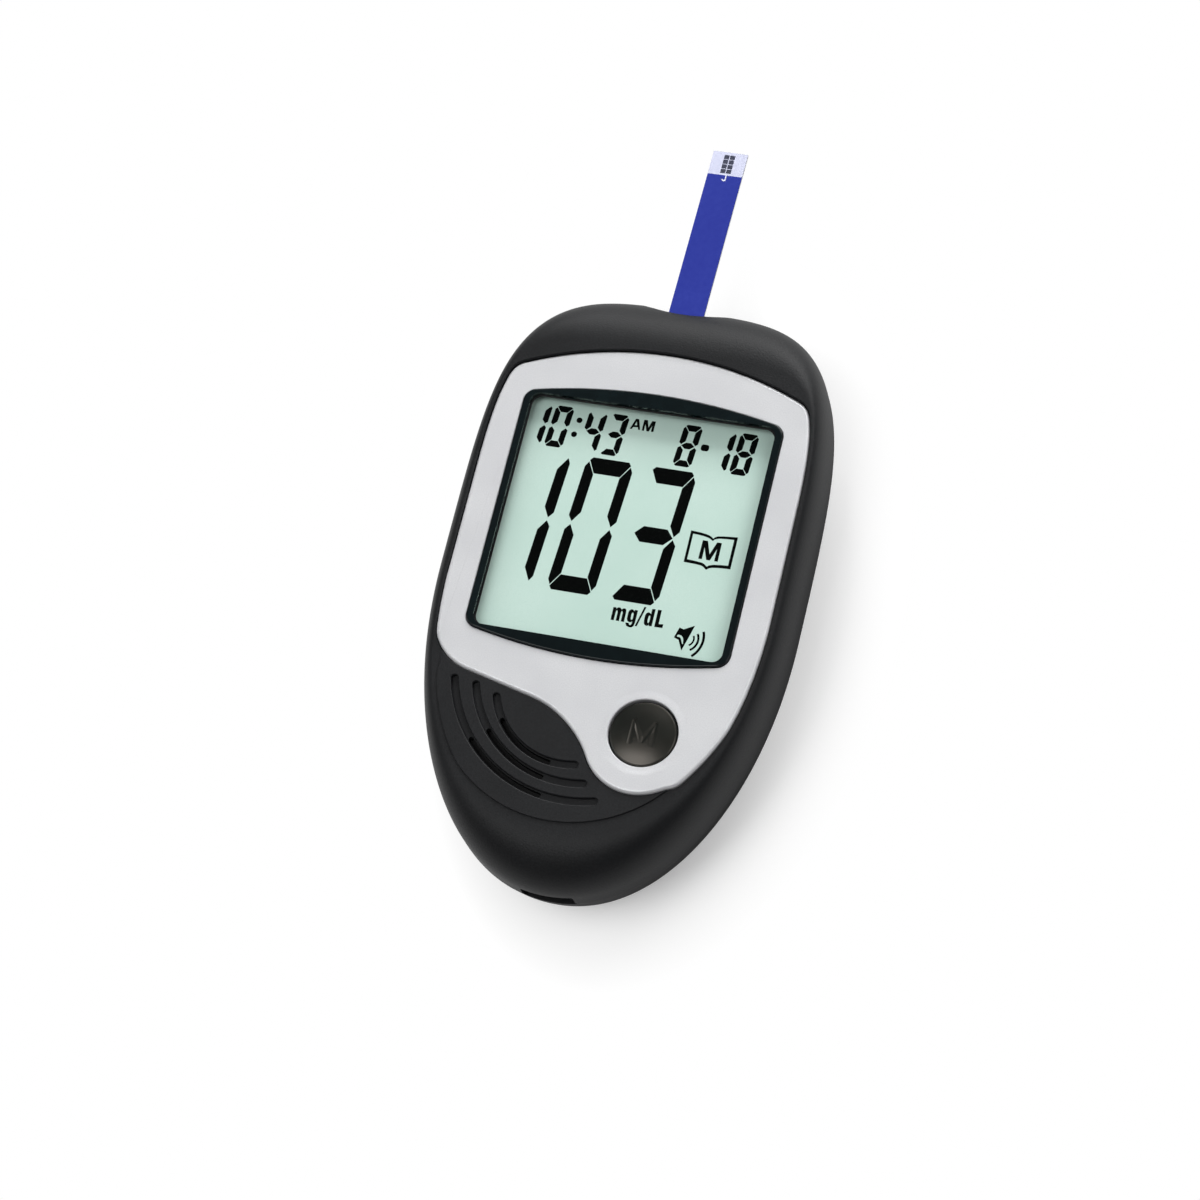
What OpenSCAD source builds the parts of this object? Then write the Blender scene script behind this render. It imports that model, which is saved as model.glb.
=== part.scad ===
// Talking blood glucose meter, lying on its back with the face up.
// Millimetres. Origin at the middle of the flat back, +Z out of the face, +Y towards the strip end.

/* [Casing outline] */
// Width at the widest line
body_w = 59.7; // [57:0.1:64]
// Length from tail to strip end
body_l = 102.8; // [100:0.1:108]
// How far the widest line lies behind the middle
wide_back = 0.8; // [0:0.1:3]
// Squareness of the strip end's outline
upper_power = 3.8; // [3.4:0.1:4.4]
// Squareness of the tail's outline
lower_power = 2.06; // [2:0.02:2.3]
// Height at which the casing is widest
wide_z = 15; // [14.5:0.1:16]
// Height of the joint between the two casings
part_z = 12; // [11:0.1:12.4]
// Width of the rounding around the back
back_round = 7; // [5.5:0.1:7.5]
// Width of the side shoulder up to the flat face
side_shoulder = 2.6; // [2.2:0.1:2.8]
// Length of the shoulder at the strip end
strip_shoulder = 10.9; // [10:0.1:11.5]
// Length of the shoulder at the tail
tail_shoulder = 8.6; // [8:0.1:9]
// Radius of the scoop in the strip end
scoop_r = 16.5; // [15:0.5:24]
// Depth of that scoop
scoop_depth = 2.5; // [1.8:0.1:2.7]

/* [Walls] */
// Casing wall
wall = 2; // [1.6:0.1:2.2]
// Floor of the rear casing
floor_t = 2; // [1.8:0.1:2.2]
// Front casing's skin under the face plate
skin_t = 1.2; // [0.9:0.1:1.4]
// Height of the lap between the casings
lap_h = 1; // [0.6:0.1:1.2]
// Thickness of that lap
lap_t = 0.9; // [0.7:0.1:1]

/* [Face] */
// Height of the face plate's top
plate_top = 23.6; // [23.4:0.1:23.9]
// Thickness of the face plate
plate_t = 1.3; // [1.1:0.1:1.5]
// Half width of the face plate
plate_half_w = 26.9; // [26.4:0.1:27]
// Radius of the plate's upper edge
plate_arc_r = 58; // [54:1:64]
// Reach of the plate's upper edge from the display's centre
plate_reach = 30.8; // [30:0.1:31]
// Corner radius of the plate
plate_corner_r = 3.5; // [2.5:0.1:4.5]
// Width of the plate's rim around the button
button_rim = 3.9; // [3.2:0.05:4.1]
// Radius of the plate's edge between the button and the side
plate_side_r = 39.6; // [37.5:0.1:41]
// Corner radius of the plate beside the speaker panel
plate_low_corner_r = 9.3; // [7:0.1:10]
// Radius of the hollow in the plate's lower edge
plate_dip_r = 16.5; // [13:0.5:19]
// Casing face height above the back, at the middle
face_z = 23.35; // [23.2:0.05:23.5]
// Rise of the casing face towards the strip end, per millimetre
face_rise = 0.0158; // [0.01:0.001:0.02]
// Height of the raised speaker panel
panel_h = 0.3; // [0.2:0.05:0.4]
// Radius of that panel's round edge
panel_r = 23.5; // [22.5:0.1:23.8]

/* [Display] */
// Display centre, ahead of the casing's middle
lcd_y = 9.2; // [8.8:0.1:9.6]
// Side of the square viewing window
window = 41; // [38:0.5:41.4]
// Corner radius of that window
window_r = 1.7; // [1:0.1:3]
// How far the casing's opening stands back from that window's edge
window_relief = 0.9; // [0.6:0.1:1]
// Width of the lens
lens_w = 43.8; // [43:0.1:45]
// Length of the lens at its middle
lens_l = 46.8; // [46:0.1:47.4]
// Radius of the lens's bowed ends
lens_bow_r = 96; // [80:1:120]
// Corner radius of the lens
lens_corner_r = 2.2; // [1:0.1:3]
// Thickness of the lens
lens_t = 1; // [0.8:0.1:1.2]
// How far the lens stands above the face plate
lens_proud = 0.4; // [0.2:0.1:0.5]
// Thickness of the tape under the lens
tape_t = 0.15; // [0.1:0.05:0.25]
// Width of the display glass
glass_w = 43.4; // [42.6:0.1:43.6]
// Length of the front display glass
glass_l = 45; // [44.6:0.1:45.4]
// Thickness of one sheet of display glass
glass_t = 1.1; // [0.9:0.05:1.1]
// Width of the contact ledge at each end of the glass
glass_ledge = 2.2; // [2:0.1:2.4]
// Thickness of the reflector film
reflector_t = 0.3; // [0.2:0.05:0.4]
// Wall of the display holder around the glass
holder_wall = 0.9; // [0.7:0.1:1]
// Length of the elastomer connector strips
zebra_l = 40; // [36:1:41]
// Width of the elastomer connector strips
zebra_w = 1.8; // [1.4:0.1:1.9]

/* [Buttons] */
// Front button's place across the casing
button_x = 11.15; // [10.9:0.05:11.5]
// Front button's distance behind the display's centre
button_behind_lcd = 34.1; // [33.8:0.1:34.4]
// Radius of the front button
button_r = 5.45; // [5.1:0.05:5.6]
// Sphere radius of its domed top
button_dome_r = 24; // [18:1:40]
// Travel of the front button
button_travel = 0.5; // [0.3:0.05:0.6]
// Width of the flange that keeps it in
button_flange = 1.3; // [1:0.1:1.4]
// Radius of the set button
set_r = 2; // [1.7:0.1:2.3]
// Travel of the set button
set_travel = 0.4; // [0.3:0.05:0.4]
// Set button's distance behind the battery bay
set_behind_bay = 5.5; // [5.2:0.1:5.6]
// Side of a tact switch's body
switch_w = 6; // [4.5:0.5:6]
// Height of a tact switch's body
switch_h = 1.6; // [1.5:0.1:1.7]
// Radius of a tact switch's plunger
plunger_r = 1.25; // [1:0.05:1.4]
// Plunger standing out of the switch body
plunger_out = 0.5; // [0.5:0.05:0.6]

/* [Speaker] */
// Radius of the speaker
speaker_r = 9.5; // [8.5:0.1:9.6]
// Speaker centre across the casing
speaker_x = -8.6; // [-8.8:0.1:-8.4]
// Speaker centre behind the middle
speaker_back = 31; // [30.6:0.1:31.2]
// Height of the speaker's basket
speaker_h = 3.8; // [3.4:0.1:3.8]
// Radius of the magnet
magnet_r = 6; // [4.5:0.1:6.5]
// Thickness of the foam gasket
gasket_t = 0.5; // [0.3:0.1:0.6]
// Thickness of the dust cloth
cloth_t = 0.3; // [0.2:0.05:0.4]
// Width of the speaker grooves
groove_w = 1.15; // [0.9:0.05:1.3]
// Depth of the speaker grooves
groove_d = 0.6; // [0.4:0.1:0.8]
// Width of the through slots in them
slot_w = 0.85; // [0.6:0.05:0.85]

/* [Strip and port] */
// Width of the test strip
strip_w = 6; // [5:0.1:6.4]
// Thickness of the strip's base
strip_base_t = 0.35; // [0.25:0.05:0.4]
// Thickness of the strip's cover film
strip_film_t = 0.15; // [0.1:0.05:0.2]
// Length of strip outside the casing
strip_out = 33.4; // [28:0.1:35]
// Length of strip inside the port
strip_in = 7; // [6:0.1:7.5]
// Length of the pale tip
strip_tip = 4.6; // [3:0.1:6]
// Slope of the strip, falling away from the casing
strip_slope = 4.6; // [3:0.1:5]
// Height of the strip's middle plane at the mouth
strip_z = 18.4; // [18.2:0.05:18.5]
// Width of the strip connector's body
port_w = 11.2; // [10:0.1:12]
// Length of the strip connector's body
port_l = 9; // [8.6:0.1:9.4]
// Height of the strip connector's body
port_h = 4.2; // [4:0.1:4.4]
// Number of contacts that touch the strip
port_contacts = 5; // [3:1:6]

/* [Board] */
// Thickness of the circuit board
board_t = 1.2; // [1:0.1:1.2]
// Height of the board's underside
board_z = 14.9; // [14.8:0.05:15]
// Gap between the board's edge and the casing wall
board_gap = 0.6; // [0.4:0.1:1]
// Side of the processor
processor_w = 10; // [7:1:14]
// Length of the voice chip
voice_l = 8; // [6:1:10]

/* [Battery bay] */
// Radius of an AAA cell
cell_r = 5.25; // [5:0.05:5.25]
// Length of an AAA cell with its nub
cell_l = 44.5; // [43.5:0.1:44.6]
// Height of the nub
nub_h = 0.8; // [0.6:0.1:1]
// Radius of the nub
nub_r = 1.9; // [1.6:0.1:2.2]
// Length of a pressed contact spring
spring_l = 4.5; // [4:0.1:5]
// Gap between the cells
cell_gap = 0.8; // [0.5:0.1:1]
// Strip end of the bay, ahead of the middle
bay_front = 31.8; // [31.4:0.1:32]
// Thickness of the sheet metal contacts
contact_t = 0.4; // [0.3:0.05:0.5]
// Wall around the bay
bay_wall = 2; // [1.8:0.1:2.1]
// Roof over the bay
bay_roof_t = 1.2; // [1:0.1:1.3]
// Thickness of the battery door
door_t = 1.5; // [1.3:0.1:1.6]
// Ledge that the door seats on
door_ledge = 1.1; // [0.8:0.1:1.3]
// Length of the set button's pocket
pocket_l = 6.7; // [6.4:0.1:7]
// Width of the door's hooks
hook_w = 2.2; // [1.8:0.1:2.4]
// Distance of the hooks from the middle
hook_x = 9.8; // [9.6:0.1:10]

/* [Data port] */
// Width of the socket's metal shell
socket_w = 7.7; // [7:0.1:8]
// Height of the socket's metal shell
socket_h = 3.9; // [3.4:0.1:4]
// Length of the socket
socket_l = 9; // [8:0.1:10]
// Metal thickness of the shell
socket_t = 0.35; // [0.25:0.05:0.4]

/* [Screws and label] */
// Radius of the casing screws
screw_r = 1; // [0.9:0.05:1.1]
// Radius of the casing screws' heads
screw_head_r = 1.9; // [1.7:0.1:2]
// Depth of the wells that the heads sit in
well_d = 3.2; // [2.8:0.1:3.4]
// Radius of the casing posts
post_r = 2.6; // [2.4:0.1:2.6]
// Radius of the board screws
board_screw_r = 0.85; // [0.7:0.05:0.9]
// Radius of the board posts
board_post_r = 1.8; // [1.6:0.1:1.8]
// Width of the bare label on the back
label_w = 20; // [14:1:22]
// Length of that label
label_l = 8.5; // [6:0.5:9]

/* [Fits] */
// Sliding clearance around a button or plunger
slide_gap = 0.1; // [0.05:0.01:0.12]
// Gap around a piece that drops into a recess
drop_gap = 0.1; // [0.05:0.01:0.12]
// Gap around the battery door
door_gap = 0.2; // [0.15:0.05:0.25]
// Gap between stacked pieces that don't bear
stack_gap = 0.05; // [0.03:0.01:0.08]

/* [Hidden] */
$fn = 64;

cut = 1; // how far a cutter reaches past the face it cuts
sides = 80; // points around the casing's outline
wide_y = -wide_back;
reach_up = body_l / 2 + wide_back;
reach_down = body_l / 2 - wide_back;

// Heights of the stack, from the face down
seat_z = plate_top - plate_t;
ceiling_z = seat_z - skin_t;
lens_top = plate_top + lens_proud;
lens_z = lens_top - lens_t;
tape_z = lens_z - tape_t;
board_top = board_z + board_t;
front_glass_z = ceiling_z - stack_gap - glass_t;
rear_glass_z = front_glass_z - glass_t;
reflector_z = rear_glass_z - reflector_t;
zebra_y = glass_l / 2 - glass_ledge / 2;
holder_rib = 3.5;

// Buttons
button_y = lcd_y - button_behind_lcd;
button_edge_z = plate_top - 0.3;
flange_z = ceiling_z - 0.2;
flange_t = 1.3;
plunger_l = 1.2;
plunger_top = board_top + switch_h + plunger_out;
set_plunger_z = board_z - switch_h - plunger_out;

// Speaker, hung under the panel's skin
speaker_y = -speaker_back;
cloth_z = ceiling_z - cloth_t;
gasket_z = cloth_z - gasket_t;
basket_z = gasket_z - speaker_h;
basket_t = 0.8;
speaker_gap = 0.3;
speaker_rib_t = 1;
plate_margin = 0.3; // casing left around the plate
// centre x, centre y from the display, radius, groove start, slot start, slot end, groove end
grooves = [
    [-1.05, -28.0, 13.25, 198, 215, 262, 281],
    [0.35, -25.6, 18.5, 196, 221, 258, 280],
    [0.55, -24.6, 22.4, 194.5, 222, 260.5, 284]
];
panel_x = -0.9;
panel_behind_lcd = 27.2;
panel_y = lcd_y - panel_behind_lcd;
panel_end = 22; // the panel's strip-side edge, behind the display's centre
magnet_h = 1.8;
gasket_w = 1.2;
cone_coil_r = 3;
cone_coil_h = 1.75;
cone_roll_r = 7;
cone_t = 0.3;
speaker_leaf_w = 1.4;
speaker_leaf_l = 2.2;
speaker_leaf_x = 3;
speaker_leaf_back = 7.6;

// Corners of the plate's lower edge, behind the display's centre and across from the button
plate_left_back = 26.7;
plate_dip_x = -4.4;
plate_dip_back = 32;
plate_turn = 17; // ahead of the button, where the plate's side starts to turn in
button_side_x = 4.85;
button_side_back = 6.7;
rim_centre = [-0.1, -0.7]; // middle of the plate's round end, from the button's

// Battery bay
cell_x = cell_r + cell_gap / 2;
cell_z = door_t + cell_gap / 2 + cell_r;
bay_half_w = 2 * cell_r + cell_gap / 2 + 0.4;
bay_back = bay_front - 2 * contact_t - cell_l - spring_l - 2 * drop_gap;
bay_roof_z = cell_z + cell_r + 0.2;
bay_top = bay_roof_z + bay_roof_t;
set_y = bay_back - set_behind_bay;
pocket_y = bay_back - bay_wall - pocket_l;
pocket_half_w = 5.5;
pocket_roof_z = 5.2;
pocket_roof_t = 1.3;
pocket_wall = 1.5;
board_rib_x = 8;
thumb_r = 3.6;
thumb_d = 0.9;
door_half_w = bay_half_w + door_ledge - door_gap;
door_front = bay_front + 1;
door_back = pocket_y - 1.2;
hook_t = 1;
hook_z = floor_t + 0.1;
hook_reach = 1.6;
hook_neck = 0.8;
grip_l = 7.2;
contact_low = hook_z + hook_t + 0.5;
tab_w = 2;
tab_slot = 0.15;

// Contact springs
coil_turns = 3.5;
coil_wire = 0.3;
coil_foot_r = 3.6;
coil_tip_r = 2.4;

// Chips and small parts, from the display's centre
processor_x = 6;
processor_h = 1.4;
voice_x = -8;
voice_y = 5;
voice_w = 5;
voice_h = 1.5;
crystal_x = 8;
crystal_r = 1.7;
crystal_pitch = 3.8;
crystal_h = 1.9;
chip_l = 1.6;
chip_w = 0.9;
chip_h = 0.8;
chip_row_x = -14;
chip_row_y = -13;
chip_row_pitch = 1.9;
chip_column_x = -15;
chip_column_y = -8;
chip_column_pitch = 4;
capacitor_l = 3.2;
capacitor_w = 1.8;
capacitor_h = 1.6;
capacitor_x = 17.5;
capacitor_y = 18.8;
capacitor_pitch = 4.5;

// Strip and its slot through the end wall
mouth_y = body_l / 2 - scoop_depth;
mouth_wall = 1.8; // end wall behind the scoop
mouth_half_w = 13;
strip_t = strip_base_t + strip_film_t;
slot_h = 2 * strip_t + 0.4;
port_y = mouth_y - 2.4 - port_l;
leaf_t = 0.25;
leaf_z = -strip_t / 2 - leaf_t - stack_gap;

// Data socket, under the board at the tail
socket_y = -body_l / 2 + 1.2;
socket_z = board_z - socket_h;
socket_gap = 0.5;

// Screws, their places across measured in from the casing's widest line
post_x = body_w / 2 - 9.25;
post_front = 37;
post_back = 21.5;
case_posts = [[post_x, post_front], [-post_x, post_front], [post_x, -post_back], [-post_x, -post_back]];
board_post_in = 6.1; // further in than the casing posts
board_post_front = 38.5;
board_posts = [
    [post_x - board_post_in, board_post_front],
    [board_post_in - post_x, board_post_front],
    [4.1 - post_x, 2.5 - post_back],
    [post_x - 3.3, -post_back - 12]
];
thread_gap = 0.02;
screw_hole_gap = 0.15;
case_screw_l = 14;
board_screw_l = 4.2;
board_screw_head_r = 1.5;
board_screw_head_h = 0.8;
post_gap = 0.3;
label_t = 0.12;
label_recess = 0.2;
label_y = door_back - 10;

// One coordinate of a superellipse, for the cosine or sine c of its parameter
function bow(c, power) = sign(c) * pow(abs(c), 2 / power);

// Egg outline: half width, reach up and down from the widest line, and a squareness for each end
function egg(half_w, up, down, p_up, p_down) = [
    for (i = [0 : sides - 1])
    let (a = 360 * i / sides, p = sin(a) >= 0 ? p_up : p_down, reach = sin(a) >= 0 ? up : down)
    [half_w * bow(cos(a), p), wide_y + reach * bow(sin(a), p)]
];
function outline(inset) = egg(body_w / 2 - inset, reach_up - inset, reach_down - inset,
                              upper_power, lower_power);
face_power_up = 6;
face_power_down = 2.3;
function face_outline(inset) = egg(body_w / 2 - side_shoulder - inset, reach_up - strip_shoulder - inset,
                                   reach_down - tail_shoulder - inset, face_power_up, face_power_down);
function face_height(y) = face_z + face_rise * y;

// A ring of the quarter-round between two outlines: at 0 degrees on the first, at 90 on the second
function quarter(from, to, a) = from + (to - from) * (1 - cos(a));
function front_ring(a) = [
    for (i = [0 : sides - 1])
    let (x = quarter(outline(0)[i].x, face_outline(0)[i].x, a),
         y = quarter(outline(0)[i].y, face_outline(0)[i].y, a))
    [x, y, wide_z + sin(a) * (face_height(y) + edge_over - wide_z)]
];
function flat_ring(points, z) = [for (p = points) [p.x, p.y, z]];
function round_ring(from, to, z_from, z_to, a) = [
    for (i = [0 : sides - 1])
    [quarter(from[i].x, to[i].x, a), quarter(from[i].y, to[i].y, a), z_from + sin(a) * (z_to - z_from)]
];
edge_over = 0.04; // the rounding ends this far past the flat that trims it
cavity_round = 6.5;
ring_angles = [0, 14, 28, 42, 55, 67, 79, 90];

// A closed solid through a stack of rings, lowest first
module loft(rings) {
    n = len(rings[0]);
    m = len(rings);
    polyhedron(
        points = [for (r = rings) each r],
        faces = concat(
            [[for (i = [0 : n - 1]) i]],
            [for (k = [0 : m - 2], i = [0 : n - 1]) let (j = (i + 1) % n) each [
                [k * n + i, (k + 1) * n + i, (k + 1) * n + j],
                [k * n + i, (k + 1) * n + j, k * n + j]
            ]],
            [[for (i = [n - 1 : -1 : 0]) (m - 1) * n + i]]
        )
    );
}

module slab(z_low, z_high) {
    translate([-body_w, -body_l, z_low]) cube([2 * body_w, 2 * body_l, z_high - z_low]);
}

module box_on(w, l, h) {
    translate([-w / 2, -l / 2, 0]) cube([w, l, h]);
}

// A round post or bore between two heights
module post(r, z_low, z_high) {
    translate([0, 0, z_low]) cylinder(r = r, h = z_high - z_low);
}

module at_each(places) {
    for (p = places) translate([p.x, p.y, 0]) children();
}

// Everything above the tilted plane of the face, raised by h
module above_face(h) {
    translate([0, 0, face_z + h]) rotate([atan(face_rise), 0, 0]) slab(0, 10);
}

module front_outer() {
    difference() {
        loft(concat([flat_ring(outline(0), part_z - cut)], [for (a = ring_angles) front_ring(a)]));
        slab(part_z - 2 * cut, part_z);
        above_face(0);
    }
}

module front_cavity() {
    intersection() {
        loft(concat(
            [flat_ring(outline(wall), part_z - cut)],
            [for (a = ring_angles)
                round_ring(outline(wall), face_outline(wall), wide_z, ceiling_z + edge_over, a)]
        ));
        slab(part_z - 2 * cut, ceiling_z);
    }
}

module rear_outer() {
    difference() {
        loft([for (i = [len(ring_angles) - 1 : -1 : 0])
            round_ring(outline(0), outline(back_round), wide_z, -edge_over, ring_angles[i])]);
        slab(part_z, wide_z + cut);
        slab(-cut, 0);
    }
}

module rear_cavity() {
    difference() {
        loft([for (i = [len(ring_angles) - 1 : -1 : 0])
            round_ring(outline(wall), outline(wall + cavity_round), wide_z, floor_t - edge_over,
                       ring_angles[i])]);
        slab(-cut, floor_t);
    }
}

module lens_2d(grow) {
    offset(r = lens_corner_r + grow) offset(delta = -lens_corner_r) intersection() {
        square([lens_w, 2 * lens_l], center = true);
        bow_circle(1);
        bow_circle(-1);
    }
}

module bow_circle(side) {
    translate([0, side * (lens_l / 2 - lens_bow_r)]) circle(r = lens_bow_r, $fn = 240);
}

module window_2d(grow) {
    offset(r = window_r + grow) square(window - 2 * window_r, center = true);
}

// Silver plate seen from above: bowed top, straight sides, S-shaped lower edge around the button
module plate_2d(grow) {
    rim_r = button_r + button_rim;
    side_y = button_y + plate_turn;
    offset(r = plate_corner_r + grow) offset(delta = -plate_corner_r)
    offset(r = -plate_dip_r) offset(delta = plate_dip_r)
    intersection() {
        polygon(face_outline(plate_margin));
        translate([-plate_half_w, -body_l / 2]) square([2 * plate_half_w, body_l]);
        translate([0, lcd_y + plate_reach - plate_arc_r]) circle(r = plate_arc_r, $fn = 240);
        union() {
            translate([plate_half_w - plate_side_r, side_y]) circle(r = plate_side_r, $fn = 180);
            translate([-body_w, side_y]) square([2 * body_w, body_l]);
        }
        union() {
            translate([button_x, button_y] + rim_centre) circle(r = rim_r);
            offset(r = plate_low_corner_r) offset(delta = -plate_low_corner_r) polygon([
                [-plate_half_w, lcd_y - plate_left_back], [plate_dip_x, lcd_y - plate_dip_back],
                [button_x - button_side_x, button_y - button_side_back],
                [body_w, button_y - button_side_back], [body_w, body_l], [-plate_half_w, body_l]
            ]);
        }
    }
}

// Points of an arc, without its last one
function arc(centre, r, from, to, steps) = [
    for (i = [0 : steps - 1])
    let (a = from + (to - from) * i / steps)
    centre + r * [cos(a), sin(a)]
];

// Curved channel with round ends, cut upwards from height z
module groove(g, w, from, to, z) {
    centre = [g[0], lcd_y + g[1]];
    r = g[2];
    translate([0, 0, z]) linear_extrude(plate_top - z) polygon(concat(
        arc(centre, r + w / 2, from, to, 16),
        arc(centre + r * [cos(to), sin(to)], w / 2, to, to + 180, 6),
        arc(centre, r - w / 2, to, from, 16),
        arc(centre + r * [cos(from), sin(from)], w / 2, from + 180, from + 360, 6)
    ));
}

module in_strip_frame() {
    translate([0, mouth_y, strip_z]) rotate([-strip_slope, 0, 0]) children();
}

// Hollow of the strip end, cut through both casings
module scoop() {
    translate([0, mouth_y + scoop_r, 0]) post(scoop_r, -cut, plate_top, $fn = 180);
}

// The stretch of end wall that the scoop is cut into, grown by a gap
module mouth_block(gap) {
    translate([-mouth_half_w - gap, mouth_y - mouth_wall - gap, 0])
        cube([2 * (mouth_half_w + gap), wall + mouth_wall + gap, ceiling_z]);
}

module front_shell() {
    difference() {
        front_outer();
        difference() {
            union() {
                front_cavity();
                translate([0, 0, part_z - cut]) linear_extrude(cut + lap_h + drop_gap)
                    polygon(outline(wall - lap_t - drop_gap));
            }
            mouth_block(0);
        }
    }
    speaker_panel();
}

module front_casing() color("#3c3d40") {
    under = ceiling_z + skin_t / 2; // posts and ribs run this far up into the skin
    speaker_hole_r = speaker_r + speaker_gap;
    difference() {
        union() {
            front_shell();
            at_each(case_posts) post(post_r, part_z + stack_gap, under);
            at_each(board_posts) post(board_post_r, board_top, under);
            translate([speaker_x, speaker_y, 0]) post(speaker_hole_r + speaker_rib_t, basket_z + 1, under);
        }
        translate([speaker_x, speaker_y, 0]) post(speaker_hole_r, basket_z - cut, ceiling_z);
        translate([0, 0, seat_z]) linear_extrude(face_z) difference() {
            plate_2d(drop_gap);
            translate([0, lcd_y]) lens_2d(0);
        }
        translate([0, lcd_y, tape_z]) linear_extrude(face_z) lens_2d(0);
        translate([0, lcd_y, ceiling_z - cut]) linear_extrude(face_z) window_2d(window_relief);
        translate([button_x, button_y, 0]) {
            post(button_r + slide_gap, ceiling_z - cut, face_z + cut);
            post(button_r + button_flange + 2 * slide_gap, board_top, ceiling_z);
        }
        for (g = grooves) {
            groove(g, groove_w, g[3], g[6], face_height(lcd_y + g[1] - g[2]) + panel_h - groove_d);
            groove(g, slot_w, g[4], g[5], ceiling_z - cut);
        }
        scoop();
        in_strip_frame() translate([0, 0, -slot_h / 2]) box_on(strip_w + 0.8, 8, slot_h);
        translate([0, port_y + port_l / 2, board_top])
            box_on(port_w + 2 * door_gap, port_l + 2 * door_gap, port_h + door_gap);
        data_port_hole();
        at_each(case_posts) post(screw_r + thread_gap, part_z - cut, well_d + case_screw_l + cut);
        at_each(board_posts) post(board_screw_r + thread_gap, board_z, board_z + board_screw_l + cut);
    }
}

// The flat area around the grooves, standing a little above the casing's face
module speaker_panel() {
    intersection() {
        translate([0, 0, ceiling_z + skin_t / 2]) linear_extrude(plate_top - ceiling_z) speaker_panel_2d();
        difference() {
            slab(ceiling_z, plate_top);
            above_face(panel_h);
        }
    }
}

module speaker_panel_2d() {
    intersection() {
        translate([panel_x, panel_y]) circle(r = panel_r, $fn = 180);
        polygon(face_outline(0.5));
        translate([-body_w, -body_l]) square([2 * body_w, body_l + lcd_y - panel_end]);
    }
}

module data_port_hole() {
    half_w = socket_w / 2 + socket_gap;
    translate([-half_w, -body_l / 2 - cut, socket_z - socket_gap / 2])
        cube([2 * half_w, cut + wall + 3, socket_h + socket_gap / 2]);
}

// Solid blocks that the battery bay, the door's seat and the set button's pocket are cut from
module bay_blocks() {
    half_w = door_half_w + door_gap + 1;
    back = door_back - door_gap - 1.4;
    bay_wall_y = bay_back - bay_wall;
    low_z = floor_t / 2;
    translate([-half_w, bay_wall_y, low_z])
        cube([2 * half_w, door_front + bay_wall - bay_wall_y, bay_top - low_z]);
    translate([-half_w, back, low_z]) cube([2 * half_w, bay_wall_y - back + cut, door_t + 1.9 - low_z]);
    pocket_w = 2 * (pocket_half_w + pocket_wall);
    translate([-pocket_w / 2, back, low_z])
        cube([pocket_w, bay_wall_y - back + cut, pocket_roof_z + pocket_roof_t - low_z]);
    for (side = [-1, 1]) translate([side * board_rib_x, (bay_back + bay_front) / 2, bay_top - cut])
        box_on(1.2, bay_front - bay_back - 8, board_z - bay_top + cut);
}

module lap_ring() {
    difference() {
        translate([0, 0, part_z - cut]) linear_extrude(cut + lap_h) difference() {
            polygon(outline(wall - lap_t));
            polygon(outline(wall));
        }
        translate([0, 0, part_z]) mouth_block(drop_gap);
    }
}

module rear_shell() {
    difference() {
        rear_outer();
        difference() {
            rear_cavity();
            mouth_block(0);
        }
    }
}

module rear_casing() color("#37383b") {
    seat_half_w = door_half_w + door_gap;
    difference() {
        union() {
            rear_shell();
            lap_ring();
            bay_blocks();
            at_each(case_posts) post(post_r, floor_t - 0.5, part_z);
        }
        translate([-bay_half_w, bay_back, -cut])
            cube([2 * bay_half_w, bay_front - bay_back, bay_roof_z + cut]);
        translate([-pocket_half_w, pocket_y, -cut]) cube([2 * pocket_half_w, pocket_l, pocket_roof_z + cut]);
        translate([-seat_half_w, door_back - door_gap, -cut])
            cube([2 * seat_half_w, door_front - door_back + 2 * door_gap, door_t + drop_gap + cut]);
        translate([0, set_y, 0]) post(set_r + slide_gap, 0, bay_top);
        for (side = [-1, 1]) {
            hook_room = door_front + hook_reach + 2 * door_gap - bay_front;
            translate([side * hook_x, bay_front + hook_room / 2, hook_z - 2 * door_gap])
                box_on(hook_w + 2 * door_gap, hook_room, hook_t + 5 * door_gap);
            translate([side * hook_x, (bay_front + door_front + door_gap) / 2, door_t])
                box_on(hook_w + 2 * door_gap, door_front + door_gap - bay_front, hook_t);
            translate([side * cell_x, bay_front - contact_t / 2, bay_roof_z - cut])
                box_on(tab_w + 2 * tab_slot, contact_t + 2 * tab_slot, 4);
        }
        scoop();
        translate([0, door_back - 1.3, 0]) post(thumb_r, -cut, thumb_d);
        at_each(case_posts) {
            post(screw_head_r + door_gap, -cut, well_d);
            post(screw_r + screw_hole_gap, 0, part_z + cut);
        }
        translate([0, label_y, -cut])
            box_on(label_w + 4 * drop_gap, label_l + 4 * drop_gap, cut + label_recess);
        data_port_hole();
    }
}

module face_plate() color("#d4d5d9") {
    translate([0, 0, seat_z]) linear_extrude(plate_t) difference() {
        plate_2d(0);
        translate([0, lcd_y]) lens_2d(drop_gap);
        translate([button_x, button_y]) circle(r = button_r + 2 * slide_gap);
    }
}

module display_lens() color("#10191b") {
    translate([0, lcd_y, lens_z]) linear_extrude(lens_t) lens_2d(0);
}

module lens_tape() color("#202020") {
    translate([0, lcd_y, tape_z]) linear_extrude(tape_t) difference() {
        lens_2d(-0.2);
        window_2d(0);
    }
}

module lcd_front_glass() color("#c0dfd3") {
    translate([0, lcd_y, front_glass_z]) box_on(glass_w, glass_l, glass_t);
}

module lcd_rear_glass() color("#b4d4c8") {
    translate([0, lcd_y, rear_glass_z]) box_on(glass_w, glass_l - 2 * glass_ledge, glass_t);
}

module lcd_reflector() color("#d8e0d8") {
    translate([0, lcd_y, reflector_z]) box_on(glass_w - 1, glass_l - 2 * glass_ledge - 1, reflector_t);
}

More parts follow.
